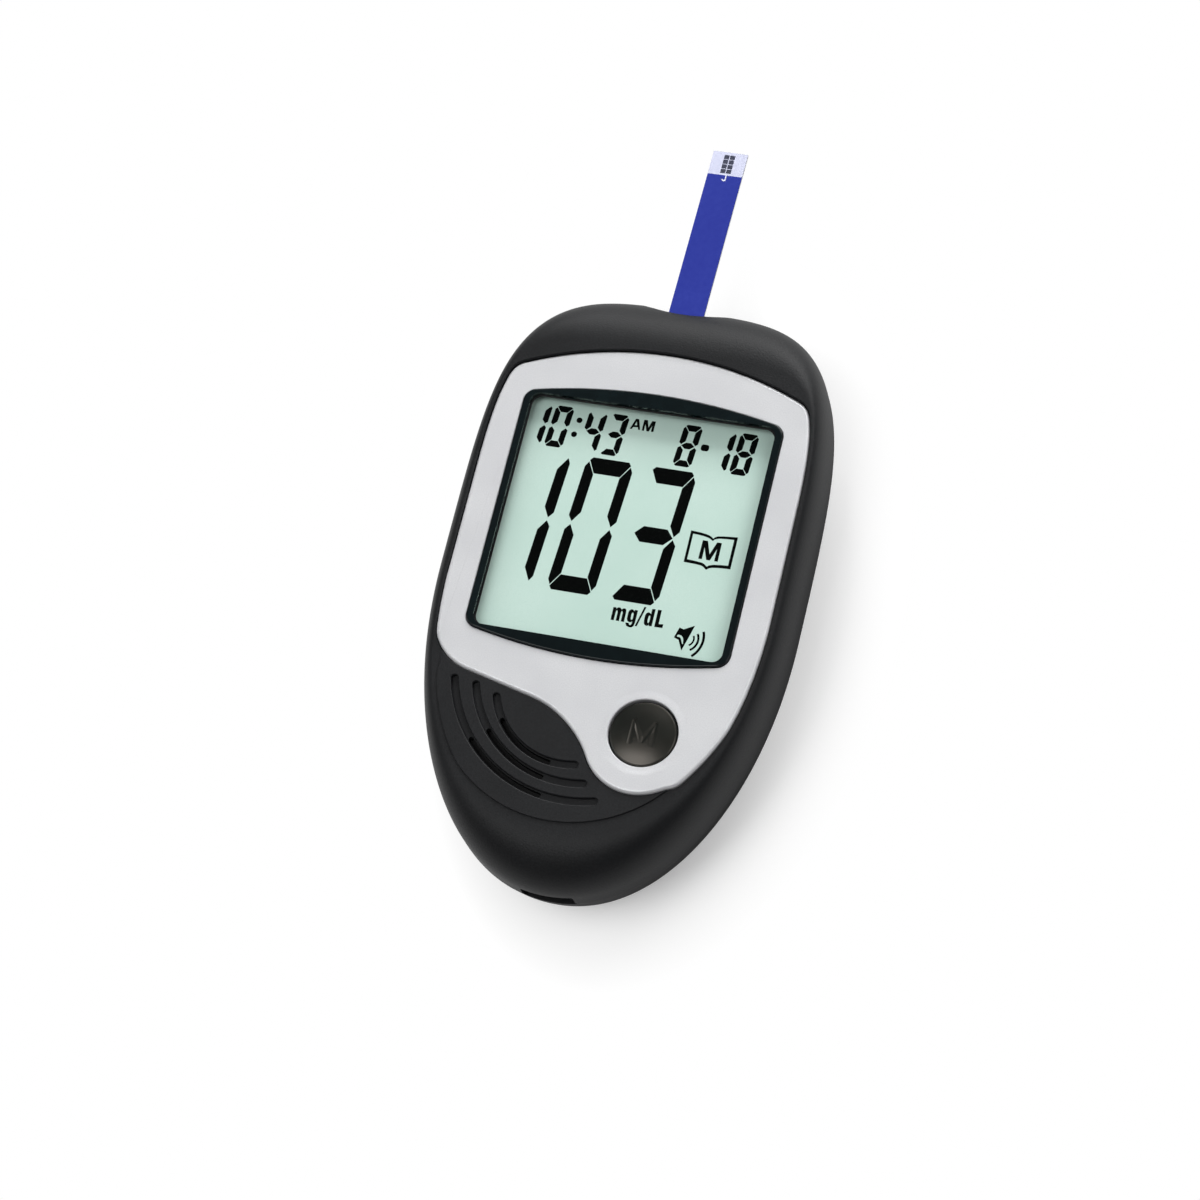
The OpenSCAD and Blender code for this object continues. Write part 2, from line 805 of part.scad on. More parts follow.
module lcd_holder() color("#e8e8e4") {
    rim = 2 * (drop_gap + holder_wall);
    film_w = glass_w - 1 + 2 * drop_gap;
    film_l = glass_l - 2 * glass_ledge - 1 + 2 * drop_gap;
    translate([0, lcd_y, 0]) difference() {
        translate([0, 0, board_top]) box_on(glass_w + rim, glass_l + rim, ceiling_z - 0.1 - board_top);
        translate([0, 0, rear_glass_z]) box_on(glass_w + 2 * drop_gap, glass_l + 2 * drop_gap, 5);
        translate([0, 0, reflector_z]) box_on(film_w, film_l, 5);
        translate([0, 0, board_top - cut])
            box_on(glass_w - 2 * holder_rib, glass_l - 2 * (glass_ledge + holder_rib), 5);
        for (side = [-1, 1]) translate([0, side * zebra_y, board_top - cut])
            box_on(zebra_l + 2 * drop_gap, zebra_w + 2 * drop_gap, 5);
    }
}

module zebra_strips() color("#5a4a48") {
    for (side = [-1, 1]) translate([0, lcd_y + side * zebra_y, board_top])
        box_on(zebra_l, zebra_w, front_glass_z - board_top);
}

module circuit_board() color("#1f5b3a") {
    difference() {
        translate([0, 0, board_z]) linear_extrude(board_t) polygon(outline(wall + board_gap));
        mouth_block(board_gap);
        at_each(case_posts) post(post_r + post_gap, 0, board_top + cut);
        at_each(board_posts) post(board_screw_r + screw_hole_gap, 0, board_top + cut);
    }
}

module processor_chip() color("#1b1c1e") {
    translate([processor_x, lcd_y - processor_x, board_top])
        box_on(processor_w, processor_w, processor_h);
}

module voice_chip() color("#1b1c1e") {
    translate([voice_x, lcd_y + voice_y, board_top]) box_on(voice_w, voice_l, voice_h);
}

module crystal() color("#c8ccd0") {
    translate([crystal_x, lcd_y + crystal_x, board_top]) hull()
        for (side = [-1, 1]) translate([side * crystal_pitch / 2, 0, 0])
            cylinder(r = crystal_r, h = crystal_h, $fn = 32);
}

module small_components() color("#b89a6a") {
    for (i = [0 : 3]) {
        translate([chip_row_x + chip_row_pitch * i, lcd_y + chip_row_y, board_top])
            box_on(chip_w, chip_l, chip_h);
        translate([chip_column_x, lcd_y + chip_column_y + chip_column_pitch * i, board_top])
            box_on(chip_l, chip_w, chip_h);
        translate([capacitor_x, lcd_y + capacitor_y - capacitor_pitch * i, board_z - capacitor_h])
            box_on(capacitor_l, capacitor_w, capacitor_h);
    }
}

module memory_button() color("#1c2422") {
    translate([button_x, button_y, 0]) {
        difference() {
            post(button_r, flange_z - flange_t, lens_top);
            translate([0, 0, button_edge_z]) difference() {
                cylinder(r = button_r + cut, h = 5);
                translate([0, 0, -sqrt(pow(button_dome_r, 2) - pow(button_r, 2))])
                    sphere(r = button_dome_r, $fn = 96);
            }
        }
        post(button_r + button_flange, flange_z - flange_t, flange_z);
        post(1.6, plunger_top, flange_z - flange_t + cut);
    }
}

module switch_body() {
    difference() {
        box_on(switch_w, switch_w, switch_h);
        translate([0, 0, 0.4]) cylinder(r = plunger_r + slide_gap, h = switch_h);
    }
}

module memory_switch() color("#2a2a2c") {
    translate([button_x, button_y, board_top]) switch_body();
}

module memory_plunger() color("#c9b28a") {
    translate([button_x, button_y, 0]) post(plunger_r, plunger_top - plunger_l, plunger_top);
}

module set_button() color("#6b6e72") {
    flange = pocket_roof_z + pocket_roof_t + 2 * stack_gap;
    translate([0, set_y, 0]) {
        post(set_r, pocket_roof_z - 0.8, flange + 0.2);
        post(set_r + 1.2, flange, flange + 0.7);
        post(plunger_r - stack_gap, flange, set_plunger_z);
    }
}

module set_switch() color("#2a2a2c") {
    translate([0, set_y, board_z]) mirror([0, 0, 1]) switch_body();
}

module set_plunger() color("#c9b28a") {
    translate([0, set_y, 0]) post(plunger_r, set_plunger_z, set_plunger_z + plunger_l);
}

module speaker_basket() color("#2e3033") {
    translate([speaker_x, speaker_y, basket_z]) difference() {
        cylinder(r = speaker_r, h = speaker_h);
        translate([0, 0, basket_t]) cylinder(r = speaker_r - basket_t, h = speaker_h);
        translate([0, 0, -cut]) cylinder(r = magnet_r + 0.01, h = speaker_h);
    }
}

module speaker_cone() color("#4a4038") {
    lip = speaker_r - basket_t - 0.02;
    top = basket_z + speaker_h - 0.1;
    translate([speaker_x, speaker_y, top]) rotate_extrude()
        polygon([
            [0, 0], [cone_coil_r * 0.75, -cone_coil_h * 0.3], [cone_coil_r, -cone_coil_h * 0.65],
            [cone_coil_r, -cone_coil_h], [cone_coil_r + cone_t, -cone_coil_h],
            [cone_coil_r + cone_t, -cone_coil_h * 0.7], [cone_roll_r, -cone_t], [lip, -cone_t],
            [lip, 0], [cone_roll_r, 0], [cone_coil_r + cone_t, -cone_coil_h * 0.5],
            [cone_coil_r * 0.8, -cone_coil_h * 0.12], [0, 0.1]
        ]);
}

module speaker_magnet() color("#8c8f94") {
    translate([speaker_x, speaker_y, basket_z]) cylinder(r = magnet_r, h = magnet_h);
}

module speaker_gasket() color("#1d1d1f") {
    translate([speaker_x, speaker_y, gasket_z]) difference() {
        cylinder(r = speaker_r, h = gasket_t);
        translate([0, 0, -cut]) cylinder(r = speaker_r - gasket_w, h = speaker_h);
    }
}

module speaker_cloth() color("#141415") {
    translate([speaker_x, speaker_y, cloth_z]) cylinder(r = speaker_r, h = cloth_t);
}

module speaker_contacts() color("#d8b56a") {
    for (side = [-1, 1])
        translate([speaker_x + side * speaker_leaf_x, speaker_y - speaker_leaf_back, board_top])
            box_on(speaker_leaf_w, speaker_leaf_l, basket_z - board_top);
}

module strip_port() color("#26272a") {
    difference() {
        translate([0, port_y + port_l / 2, board_top]) box_on(port_w, port_l, port_h);
        in_strip_frame() translate([0, port_l - strip_in - door_gap, leaf_z])
            box_on(strip_w + 2 * door_gap, 2 * port_l, strip_t / 2 + door_gap - leaf_z);
    }
}

module strip_contacts() color("#d8b56a") {
    pitch = (strip_w - 1) / port_contacts;
    in_strip_frame() for (i = [0 : port_contacts - 1])
        translate([pitch * (i - (port_contacts - 1) / 2), 2 - strip_in, leaf_z])
            box_on(pitch * 0.6, 4, leaf_t);
}

module strip_base() color("#e9eaf4") {
    in_strip_frame() translate([0, (strip_out - strip_in) / 2, -strip_t / 2])
        box_on(strip_w, strip_out + strip_in, strip_base_t);
}

module strip_film() color("#38409f") {
    start = 3.5 - strip_in;
    in_strip_frame() translate([0, (strip_out - strip_tip + start) / 2, strip_t / 2 - strip_film_t])
        box_on(strip_w, strip_out - strip_tip - start, strip_film_t);
}

module strip_tip_film() color("#e4e6f5") {
    in_strip_frame() translate([0, strip_out - strip_tip / 2, strip_t / 2 - strip_film_t])
        box_on(strip_w, strip_tip, strip_film_t);
}

// One AAA cell lying along Y, its nub ending at y = 0 and its body behind that
module cell() {
    rotate([90, 0, 0]) {
        cylinder(r = nub_r, h = nub_h + 0.5);
        translate([0, 0, nub_h]) cylinder(r = cell_r, h = cell_l - nub_h);
    }
}

module battery_left() color("#7d8084") {
    translate([-cell_x, bay_front - contact_t - drop_gap, cell_z]) cell();
}

module battery_right() color("#7d8084") {
    translate([cell_x, bay_back + contact_t + drop_gap, cell_z]) rotate([0, 0, 180]) cell();
}

// Conical contact spring along +Z, wide at its foot
module coil(length) {
    steps = 42;
    around = 6;
    loft([
        for (k = [0 : steps])
        let (a = 360 * coil_turns * k / steps, r = coil_foot_r + (coil_tip_r - coil_foot_r) * k / steps,
             z = coil_wire + (length - 2 * coil_wire) * k / steps)
        [for (j = [0 : around - 1])
            let (w = 360 * j / around, d = r + coil_wire * cos(w))
            [d * cos(a), d * sin(a), z + coil_wire * sin(w)]]
    ]);
}

module battery_springs() color("#c2c6ca") {
    free = spring_l - 2 * drop_gap;
    translate([-cell_x, bay_back + contact_t, cell_z]) rotate([-90, 0, 0]) coil(free);
    translate([cell_x, bay_front - contact_t, cell_z]) rotate([90, 0, 0]) coil(free);
}

module contact_bridge() color("#c2c6ca") {
    half = cell_x + 3.8;
    translate([-half, bay_back, contact_low]) cube([2 * half, contact_t, bay_roof_z - 1 - contact_low]);
}

module contact_plates() color("#c2c6ca") {
    for (side = [-1, 1]) translate([side * cell_x, bay_front - contact_t / 2, contact_low]) {
        box_on(7.6, contact_t, bay_roof_z - 1 - contact_low);
        box_on(tab_w, contact_t, board_z - contact_low);
    }
}

module battery_door() color("#37383b") {
    difference() {
        union() {
            translate([-door_half_w, door_back, 0]) cube([2 * door_half_w, door_front - door_back, door_t]);
            for (side = [-1, 1]) translate([side * hook_x - hook_w / 2, door_front - hook_neck - 0.1, 0]) {
                translate([0, 0, door_t - 0.5]) cube([hook_w, hook_neck, hook_z + hook_t - door_t + 0.5]);
                translate([0, 0, hook_z]) cube([hook_w, hook_neck + hook_reach, hook_t]);
            }
        }
        for (side = [-1, 1]) translate([side * 5, door_back + 3.5, -cut]) box_on(0.6, 9, 5);
        for (i = [0 : 4]) translate([-grip_l / 2, door_back + 2.4 + 1.5 * i, -0.1])
            rotate([0, 90, 0]) cylinder(r = 0.45, h = grip_l);
    }
}

module data_socket_shell() color("#c2c6ca") {
    translate([0, socket_y + socket_l / 2, socket_z]) difference() {
        box_on(socket_w, socket_l, socket_h);
        translate([0, 0, socket_t]) box_on(socket_w - 2 * socket_t, socket_l + 2, socket_h - 2 * socket_t);
    }
}

module data_socket_tongue() color("#17181a") {
    inner_w = socket_w - 2 * socket_t - 0.04;
    inner_h = socket_h - 2 * socket_t - 0.04;
    translate([0, socket_y + socket_l, socket_z + socket_t + 0.02]) {
        translate([0, -1.2, 0]) box_on(inner_w, 2.4, inner_h);
        translate([0, -4.2, inner_h / 2 - 0.45]) box_on(inner_w - 2, 5, 0.9);
    }
}

// Cross-head screw pointing up, with the underside of its head at the given height
module screw(r, head_r, head_h, length, z) {
    difference() {
        union() {
            post(head_r, z - head_h, z);
            post(r, z - head_h, z + length);
        }
        for (a = [0, 90]) rotate([0, 0, a]) translate([0, 0, z - head_h - cut])
            box_on(head_r * 1.3, head_r * 0.3, cut + head_h / 2);
    }
}

module casing_screws() color("#5b5e62") {
    at_each(case_posts) screw(screw_r, screw_head_r, 1.2, case_screw_l, well_d);
}

module board_screws() color("#a9adb2") {
    at_each(board_posts) screw(board_screw_r, board_screw_head_r, board_screw_head_h, board_screw_l, board_z);
}

module rating_label() color("#c9cacc") {
    translate([0, label_y, label_recess - label_t]) box_on(label_w, label_l, label_t);
}

front_casing();
rear_casing();
face_plate();
display_lens();
lens_tape();
lcd_front_glass();
lcd_rear_glass();
lcd_reflector();
lcd_holder();
zebra_strips();
circuit_board();
processor_chip();
voice_chip();
crystal();
small_components();
memory_button();
memory_switch();
memory_plunger();
set_button();
set_switch();
set_plunger();
speaker_basket();
speaker_cone();
speaker_magnet();
speaker_gasket();
speaker_cloth();
speaker_contacts();
strip_port();
strip_contacts();
strip_base();
strip_film();
strip_tip_film();
battery_left();
battery_right();
battery_springs();
contact_bridge();
contact_plates();
battery_door();
data_socket_shell();
data_socket_tongue();
casing_screws();
board_screws();
rating_label();
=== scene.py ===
"""Talking blood glucose meter lying on its back, with a test strip in its port."""
from bisect import bisect_left
from math import asin, copysign, cos, pi, radians, sin, sqrt, tau

import bmesh
import bpy
from mathutils import Matrix, Vector
from mathutils.bvhtree import BVHTree


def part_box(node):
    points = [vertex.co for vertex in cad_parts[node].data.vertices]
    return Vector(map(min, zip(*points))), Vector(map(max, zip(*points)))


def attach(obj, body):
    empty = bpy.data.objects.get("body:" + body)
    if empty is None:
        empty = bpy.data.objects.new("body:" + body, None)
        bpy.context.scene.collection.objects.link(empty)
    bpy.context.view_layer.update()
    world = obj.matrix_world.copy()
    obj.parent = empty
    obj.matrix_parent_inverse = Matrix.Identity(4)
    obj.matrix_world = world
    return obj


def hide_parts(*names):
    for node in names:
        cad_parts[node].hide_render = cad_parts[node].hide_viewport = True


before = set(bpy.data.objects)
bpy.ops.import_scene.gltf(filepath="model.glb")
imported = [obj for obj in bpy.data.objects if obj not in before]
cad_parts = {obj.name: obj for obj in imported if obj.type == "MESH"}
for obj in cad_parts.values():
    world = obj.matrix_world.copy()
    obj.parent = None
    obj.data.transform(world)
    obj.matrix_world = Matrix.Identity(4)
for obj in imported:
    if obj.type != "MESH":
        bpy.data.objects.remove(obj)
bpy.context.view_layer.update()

scene = bpy.context.scene
MM = 0.001


def mm(node):
    """Lowest and highest corner of a node of the frame, in millimetres."""
    low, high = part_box(node)
    return low / MM, high / MM


# ---------------------------------------------------------------- sizes, in millimetres

front_low, front_high = mm("front_casing")
plate_low, plate_high = mm("face_plate")
lens_low, lens_high = mm("display_lens")
tape_low = mm("lens_tape")[0]
glass_low, glass_high = mm("lcd_front_glass")
button_low, button_high = mm("memory_button")
door_low, door_high = mm("battery_door")
label_low, label_high = mm("rating_label")
shell_low, shell_high = mm("data_socket_shell")
strip_low, strip_high = mm("strip_base")
screw_low, screw_high = mm("casing_screws")

# Casing outline: an egg, widest a little behind its middle
HALF_W = front_high.x
TAIL = -front_low.y
WIDE_Y = -0.8
REACH_UP, REACH_DOWN = TAIL - WIDE_Y, TAIL + WIDE_Y
OUTLINE_POWERS = 3.8, 2.06
FACE_POWERS = 6.0, 2.3
SIDE_SHOULDER, STRIP_SHOULDER, TAIL_SHOULDER = 2.6, 10.9, 8.6
PART_Z, WIDE_Z = front_low.z, 15.0
BACK_ROUND = 7.0
FACE_Z, FACE_RISE = 23.35, 0.0158
CEILING_Z = 21.1
SCOOP_R, SCOOP_DEPTH, SCOOP_LIP = 16.5, 2.5, 0.2
MOUTH_Y = TAIL - SCOOP_DEPTH
SCOOP_CENTRE = 0, MOUTH_Y + SCOOP_R
RAYS_ABOVE, RAYS_BELOW = 60.0, -20.0  # heights outside the casing, where rays start
PARTING = 0.15  # rounding along the joint between the casings
SKIN, CORE = 0.9, 0.7  # the skin's inner face, and how far out the inside reaches into it
COLUMNS, RINGS = 360, 20
ROUNDING = 0, 0.4, 0.8, 1.2, pi / 2  # steps of a quarter turn over a small edge
INSIDE_TOP, HOLLOW_TOP = CEILING_Z + 0.6, CEILING_Z + 0.4

# Face
LCD_Y = (lens_low.y + lens_high.y) / 2
WINDOW, WINDOW_R, WINDOW_RELIEF = 41.0, 1.7, 0.9
PANEL_H, PANEL_R, PANEL_IN = 0.3, 23.5, 0.5
PANEL_CENTRE = Vector((-0.9, LCD_Y - 27.2))
PANEL_END = LCD_Y - 22
PANEL_MIDDLE = Vector((-2.0, -28.0))  # a point well inside the panel
PANEL_EDGE = 0.22
GROOVE_W, GROOVE_D, GROOVE_LIP, SLOT_W = 1.15, 0.6, 0.16, 0.85
# centre, radius, groove start, slot start, slot end, groove end
GROOVES = [
    (Vector((-1.05, LCD_Y - 28.0)), 13.25, 198, 215, 262, 281),
    (Vector((0.35, LCD_Y - 25.6)), 18.5, 196, 221, 258, 280),
    (Vector((0.55, LCD_Y - 24.6)), 22.4, 194.5, 222, 260.5, 284),
]
BUTTON = ((button_low + button_high) / 2).xy
BUTTON_R, BUTTON_DOME_R, FLANGE_R, STEM_R = 5.45, 24.0, (button_high.x - button_low.x) / 2, 1.6
FLANGE_LOW, FLANGE_HIGH, DOME_EDGE_Z = 19.6, 20.9, 23.3
STRIP_SLOPE, STRIP_Z, STRIP_W = 4.6, 18.4, strip_high.x - strip_low.x
STRIP_T, STRIP_OUT, STRIP_TIP = 0.5, 33.4, 4.6
MOUTH_SPARE_W, MOUTH_SPARE_H = 0.8, 0.4
PORT_SPARE_W, PORT_H, PORT_LOW = 1.0, 4.15, 10.75
GAP = 0.1

# Back
DOOR_SEAT_SPARE_W, DOOR_SEAT_L, DOOR_SEAT_Y, DOOR_SEAT_Z = 0.4, 61.3, 2.35, 1.6
NOTCH_R, NOTCH_OUT, NOTCH_Z = 3.6, 1.3, 1.5
LABEL_SEAT_W, LABEL_SEAT_L, LABEL_SEAT_Z = 20.4, 8.9, 0.2
SCREW_HEAD_R, WELL_SPARE, WELL_Z = 1.9, 0.2, 3.2

# Camera: worked out from the display's four corners in the photograph
CAMERA_AT = Vector((133.25, -189.20, 535.67))
CAMERA_RIGHT = Vector((0.9581, 0.2326, -0.1670))
CAMERA_UP = Vector((-0.1573, 0.9148, 0.3719))
LENS_MM = 105.26


# ---------------------------------------------------------------- shapes of the casing


def bow(c, power):
    """One coordinate of a superellipse, for the cosine or sine of its parameter."""
    return copysign(abs(c) ** (2 / power), c)


def egg(half_w, up, down, powers):
    """An egg outline, as a function from parameter to point."""
    def at(a):
        power, reach = (powers[0], up) if sin(a) >= 0 else (powers[1], down)
        return Vector((half_w * bow(cos(a), power), WIDE_Y + reach * bow(sin(a), power)))
    return at


def outline(inset=0.0):
    return egg(HALF_W - inset, REACH_UP - inset, REACH_DOWN - inset, OUTLINE_POWERS)


def face_outline(inset=0.0):
    return egg(HALF_W - SIDE_SHOULDER - inset, REACH_UP - STRIP_SHOULDER - inset,
               REACH_DOWN - TAIL_SHOULDER - inset, FACE_POWERS)


def even_parameters(path, count, samples=24000):
    """Parameters at even distances along a closed path."""
    marks = [tau * i / samples for i in range(samples + 1)]
    points = [path(a) for a in marks]
    reached = [0.0]
    for here, there in zip(points, points[1:]):
        reached.append(reached[-1] + (there - here).length)
    return [marks[bisect_left(reached, reached[-1] * i / count)] for i in range(count)]


AROUND = even_parameters(lambda a: (outline()(a) + face_outline()(a)) / 2, COLUMNS)


def face_height(y):
    return FACE_Z + FACE_RISE * y


def level_ring(path, z):
    return [(*path(a), z) for a in AROUND]


def round_rings(outer, inner, z_from, z_to, start=0.0):
    """Rings of a quarter-round from the outer path at z_from to the inner one at z_to(y)."""
    rings = []
    for k in range(RINGS + 1):
        turn = start + (pi / 2 - start) * k / RINGS
        ring = []
        for a in AROUND:
            p = outer(a).lerp(inner(a), 1 - cos(turn))
            ring.append((*p, z_from + sin(turn) * (z_to(p.y) - z_from)))
        rings.append(ring)
    return rings


def front_rings(inset, roof):
    """Rings of the front casing's outside, or of a body lying inside it."""
    base = PART_Z - (1 if inset else 0)
    return [level_ring(outline(inset or PARTING), base), level_ring(outline(inset), base + PARTING),
            *round_rings(outline(inset), face_outline(inset), WIDE_Z, roof)]


def rear_rings(inset, floor):
    """Rings of the rear casing's outside, or of a body lying inside it, lowest first."""
    top = PART_Z + (1 if inset else 0)
    start = asin((WIDE_Z - top + PARTING) / (WIDE_Z - floor))
    rings = round_rings(outline(inset), outline(inset + BACK_ROUND), WIDE_Z, lambda y: floor, start)
    lip = outline(inset + BACK_ROUND * (1 - cos(start)) + (0 if inset else PARTING))
    return [*reversed(rings), level_ring(lip, top)]


def in_panel(p, inset=0.0):
    """Whether a point of the plan is on the raised speaker panel."""
    across = abs(p.x) / (HALF_W - SIDE_SHOULDER - PANEL_IN - inset)
    along = (WIDE_Y - p.y) / (REACH_DOWN - TAIL_SHOULDER - PANEL_IN - inset)
    power = FACE_POWERS[1]
    return (p.y < PANEL_END - inset and (p - PANEL_CENTRE).length < PANEL_R - inset
            and across ** power + max(along, 0) ** power < 1)


def surface(p):
    """Height of the face at a point of the plan."""
    return face_height(p[1]) + (PANEL_H if in_panel(Vector(p[:2])) else 0)


# ---------------------------------------------------------------- loops of the plan


def arc(centre, r, start, end, steps):
    """Points of an arc between two angles in degrees."""
    turns = [radians(start + (end - start) * i / steps) for i in range(steps + 1)]
    return [Vector((centre[0] + r * cos(a), centre[1] + r * sin(a))) for a in turns]


def rounded(w, h, r, centre=(0, 0), steps=8):
    """A rectangle with rounded corners."""
    x, y = w / 2 - r, h / 2 - r
    corners = [(x, y, 0), (-x, y, 90), (-x, -y, 180), (x, -y, 270)]
    return [p for cx, cy, a in corners
            for p in arc((centre[0] + cx, centre[1] + cy), r, a, a + 90, steps)]


def channel(centre, r, w, start, end, steps=48):
    """A curved channel with round ends."""
    half = w / 2
    ends = [arc(centre, r, a, a, 1)[0] for a in (start, end)]
    return [*arc(centre, r + half, start, end, steps),
            *arc(ends[1], half, end, end + 180, 10)[1:-1],
            *arc(centre, r - half, end, start, steps),
            *arc(ends[0], half, start + 180, start + 360, 10)[1:-1]]


def grow(loop, d):
    """A counter-clockwise loop moved outwards by a distance."""
    moved = []
    for before, here, after in zip(loop[-1:] + loop[:-1], loop, loop[1:] + loop[:1]):
        sides = [(b - a).normalized() for a, b in ((before, here), (here, after))]
        normals = [Vector((s.y, -s.x)) for s in sides]
        middle = (normals[0] + normals[1]).normalized()
        moved.append(here + middle * d / max(middle.dot(normals[0]), 0.3))
    return moved


# ---------------------------------------------------------------- meshes


def place(verts, points):
    """Puts vertices on points given in millimetres."""
    for vert, point in zip(verts, points):
        vert.co = Vector(point) * MM


def stack(bm, rings):
    """Adds a closed solid through rings of points, given in millimetres."""
    loop = bmesh.ops.create_circle(bm, segments=len(rings[0]), radius=1)["verts"]
    place(loop, rings[0])
    for number, ring in enumerate(rings):
        edges = [bm.edges.get(pair) for pair in zip(loop, loop[1:] + loop[:1])]
        if number:
            made = bmesh.ops.extrude_edge_only(bm, edges=edges)["geom"]
            fresh = {item for item in made if isinstance(item, bmesh.types.BMVert)}
            loop = [next(e.other_vert(v) for e in v.link_edges if e.other_vert(v) in fresh)
                    for v in loop]
            place(loop, ring)
            edges = [bm.edges.get(pair) for pair in zip(loop, loop[1:] + loop[:1])]
        if number in (0, len(rings) - 1):
            bmesh.ops.contextual_create(bm, geom=edges)
    return bm


def closed(bm):
    """Turns every face of a closed mesh outwards."""
    bmesh.ops.recalc_face_normals(bm, faces=bm.faces[:])
    return bm


def shape(name, bm):
    """An object from a bmesh, which it uses up."""
    mesh = bpy.data.meshes.new(name)
    closed(bm).to_mesh(mesh)
    bm.free()
    made = bpy.data.objects.new(name, mesh)
    scene.collection.objects.link(made)
    return made


def solid(rings, name="cutter"):
    return shape(name, stack(bmesh.new(), rings))


def prism(loop, low, high, name="cutter"):
    return solid([[(*p, z) for p in loop] for z in (low, high)], name)


def pocket(loop, floor, height=surface, lip=0.12, way=1):
    """A cutter that sinks a loop to a floor and rounds the edge that it leaves at the surface."""
    rings = [[(*p, floor) for p in loop]]
    for share in (1, 0.55, 0.2, 0):
        spread = grow(loop, lip * (1 - sqrt(1 - (1 - share) ** 2)))
        rings.append([(*p, height(q) - way * lip * share) for p, q in zip(spread, loop)])
    rings.append([(*p, height(q) + way * 0.6) for p, q in zip(spread, loop)])
    return solid(rings if way > 0 else rings[::-1])


def merged(node):
    """A welded copy of a node's mesh."""
    bm = bmesh.new()
    bm.from_mesh(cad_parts[node].data)
    bmesh.ops.remove_doubles(bm, verts=bm.verts[:], dist=1e-7)
    return bm


def flattened(node):
    """A welded copy of a node's mesh whose flat faces are whole."""
    bm = merged(node)
    bmesh.ops.dissolve_limit(bm, angle_limit=radians(0.5), verts=bm.verts[:], edges=bm.edges[:])
    return bm


def rim_edges(bm, z):
    """Edges around the flat faces at a height."""
    flat = {f for f in bm.faces if all(abs(v.co.z / MM - z) < 1e-3 for v in f.verts)}
    return [e for e in bm.edges if sum(f in flat for f in e.link_faces) == 1]


def loops_of(edges):
    """Closed loops that edges make, as lists of vertices."""
    left, loops = set(edges), []
    while left:
        edge = left.pop()
        loop = list(edge.verts)
        while loop[-1] is not loop[0]:
            edge = next(e for e in loop[-1].link_edges if e in left)
            left.discard(edge)
            loop.append(edge.other_vert(loop[-1]))
        loops.append(loop[1:])
    return loops


def rim_loops(node, z):
    """Counter-clockwise loops of the plan around a node's flat faces at a height, longest first."""
    bm = merged(node)
    loops = []
    for verts in loops_of(rim_edges(bm, z)):
        loop = [v.co.xy / MM for v in verts]
        area = sum(a.cross(b) for a, b in zip(loop, loop[1:] + loop[:1]))
        loops.append(loop if area > 0 else loop[::-1])
    bm.free()
    return sorted(loops, key=lambda loop: -sum((b - a).length for a, b in zip(loop, loop[1:])))


def turned(name, profile, centre, steps=96):
    """A body turned around an upright axis, from (radius, height) points along its profile."""
    bm = bmesh.new()
    chain = [bm.verts.new(Vector((r + centre[0], centre[1], z)) * MM) for r, z in profile]
    edges = [bm.edges.new(pair) for pair in zip(chain, chain[1:])]
    bmesh.ops.spin(bm, geom=chain + edges, cent=Vector((*centre, 0)) * MM, axis=(0, 0, 1),
                   angle=tau, steps=steps, use_merge=True)
    bmesh.ops.remove_doubles(bm, verts=bm.verts[:], dist=1e-7)
    return shape(name, bm)


def carve(target, operation, *cutters):
    """Cuts, joins or intersects a working object with others, which it uses up."""
    for cutter in cutters:
        step = target.modifiers.new("carve", "BOOLEAN")
        step.operation, step.object, step.solver = operation, cutter, "MANIFOLD"
    depsgraph = bpy.context.evaluated_depsgraph_get()
    shaped = bpy.data.meshes.new_from_object(target.evaluated_get(depsgraph))
    target.modifiers.clear()
    target.data = shaped
    for cutter in cutters:
        bpy.data.objects.remove(cutter)
    return target


def piece(made, body, slot, material, *nodes, sharp=30):
    """Dresses a finished object, and lets it ride on its body in place of the nodes."""
    made.data.materials.clear()
    made.data.materials.append(material)
    made.data.shade_smooth()
    made.data.set_sharp_from_angle(angle=radians(sharp))
    weighted = made.modifiers.new("weighted", "WEIGHTED_NORMAL")
    weighted.keep_sharp = True
    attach(made, body)
    if nodes:
        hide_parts(*nodes)
    return made


# ---------------------------------------------------------------- materials


def srgb(code):
    """Linear colour of an sRGB hex value."""
    parts = [int(code[i:i + 2], 16) / 255 for i in (1, 3, 5)]
    return (*(c / 12.92 if c <= 0.04045 else ((c + 0.055) / 1.055) ** 2.4 for c in parts), 1)


def add(tree, kind, inputs=None, **settings):
    """Adds a node with its settings; each input is a value or the socket that feeds it."""
    node = tree.nodes.new("ShaderNode" + kind)
    for key, value in settings.items():
        setattr(node, key, value)
    for key, value in (inputs or {}).items():
        if isinstance(value, bpy.types.NodeSocket):
            tree.links.new(value, node.inputs[key])
        else:
            node.inputs[key].default_value = value
    return node


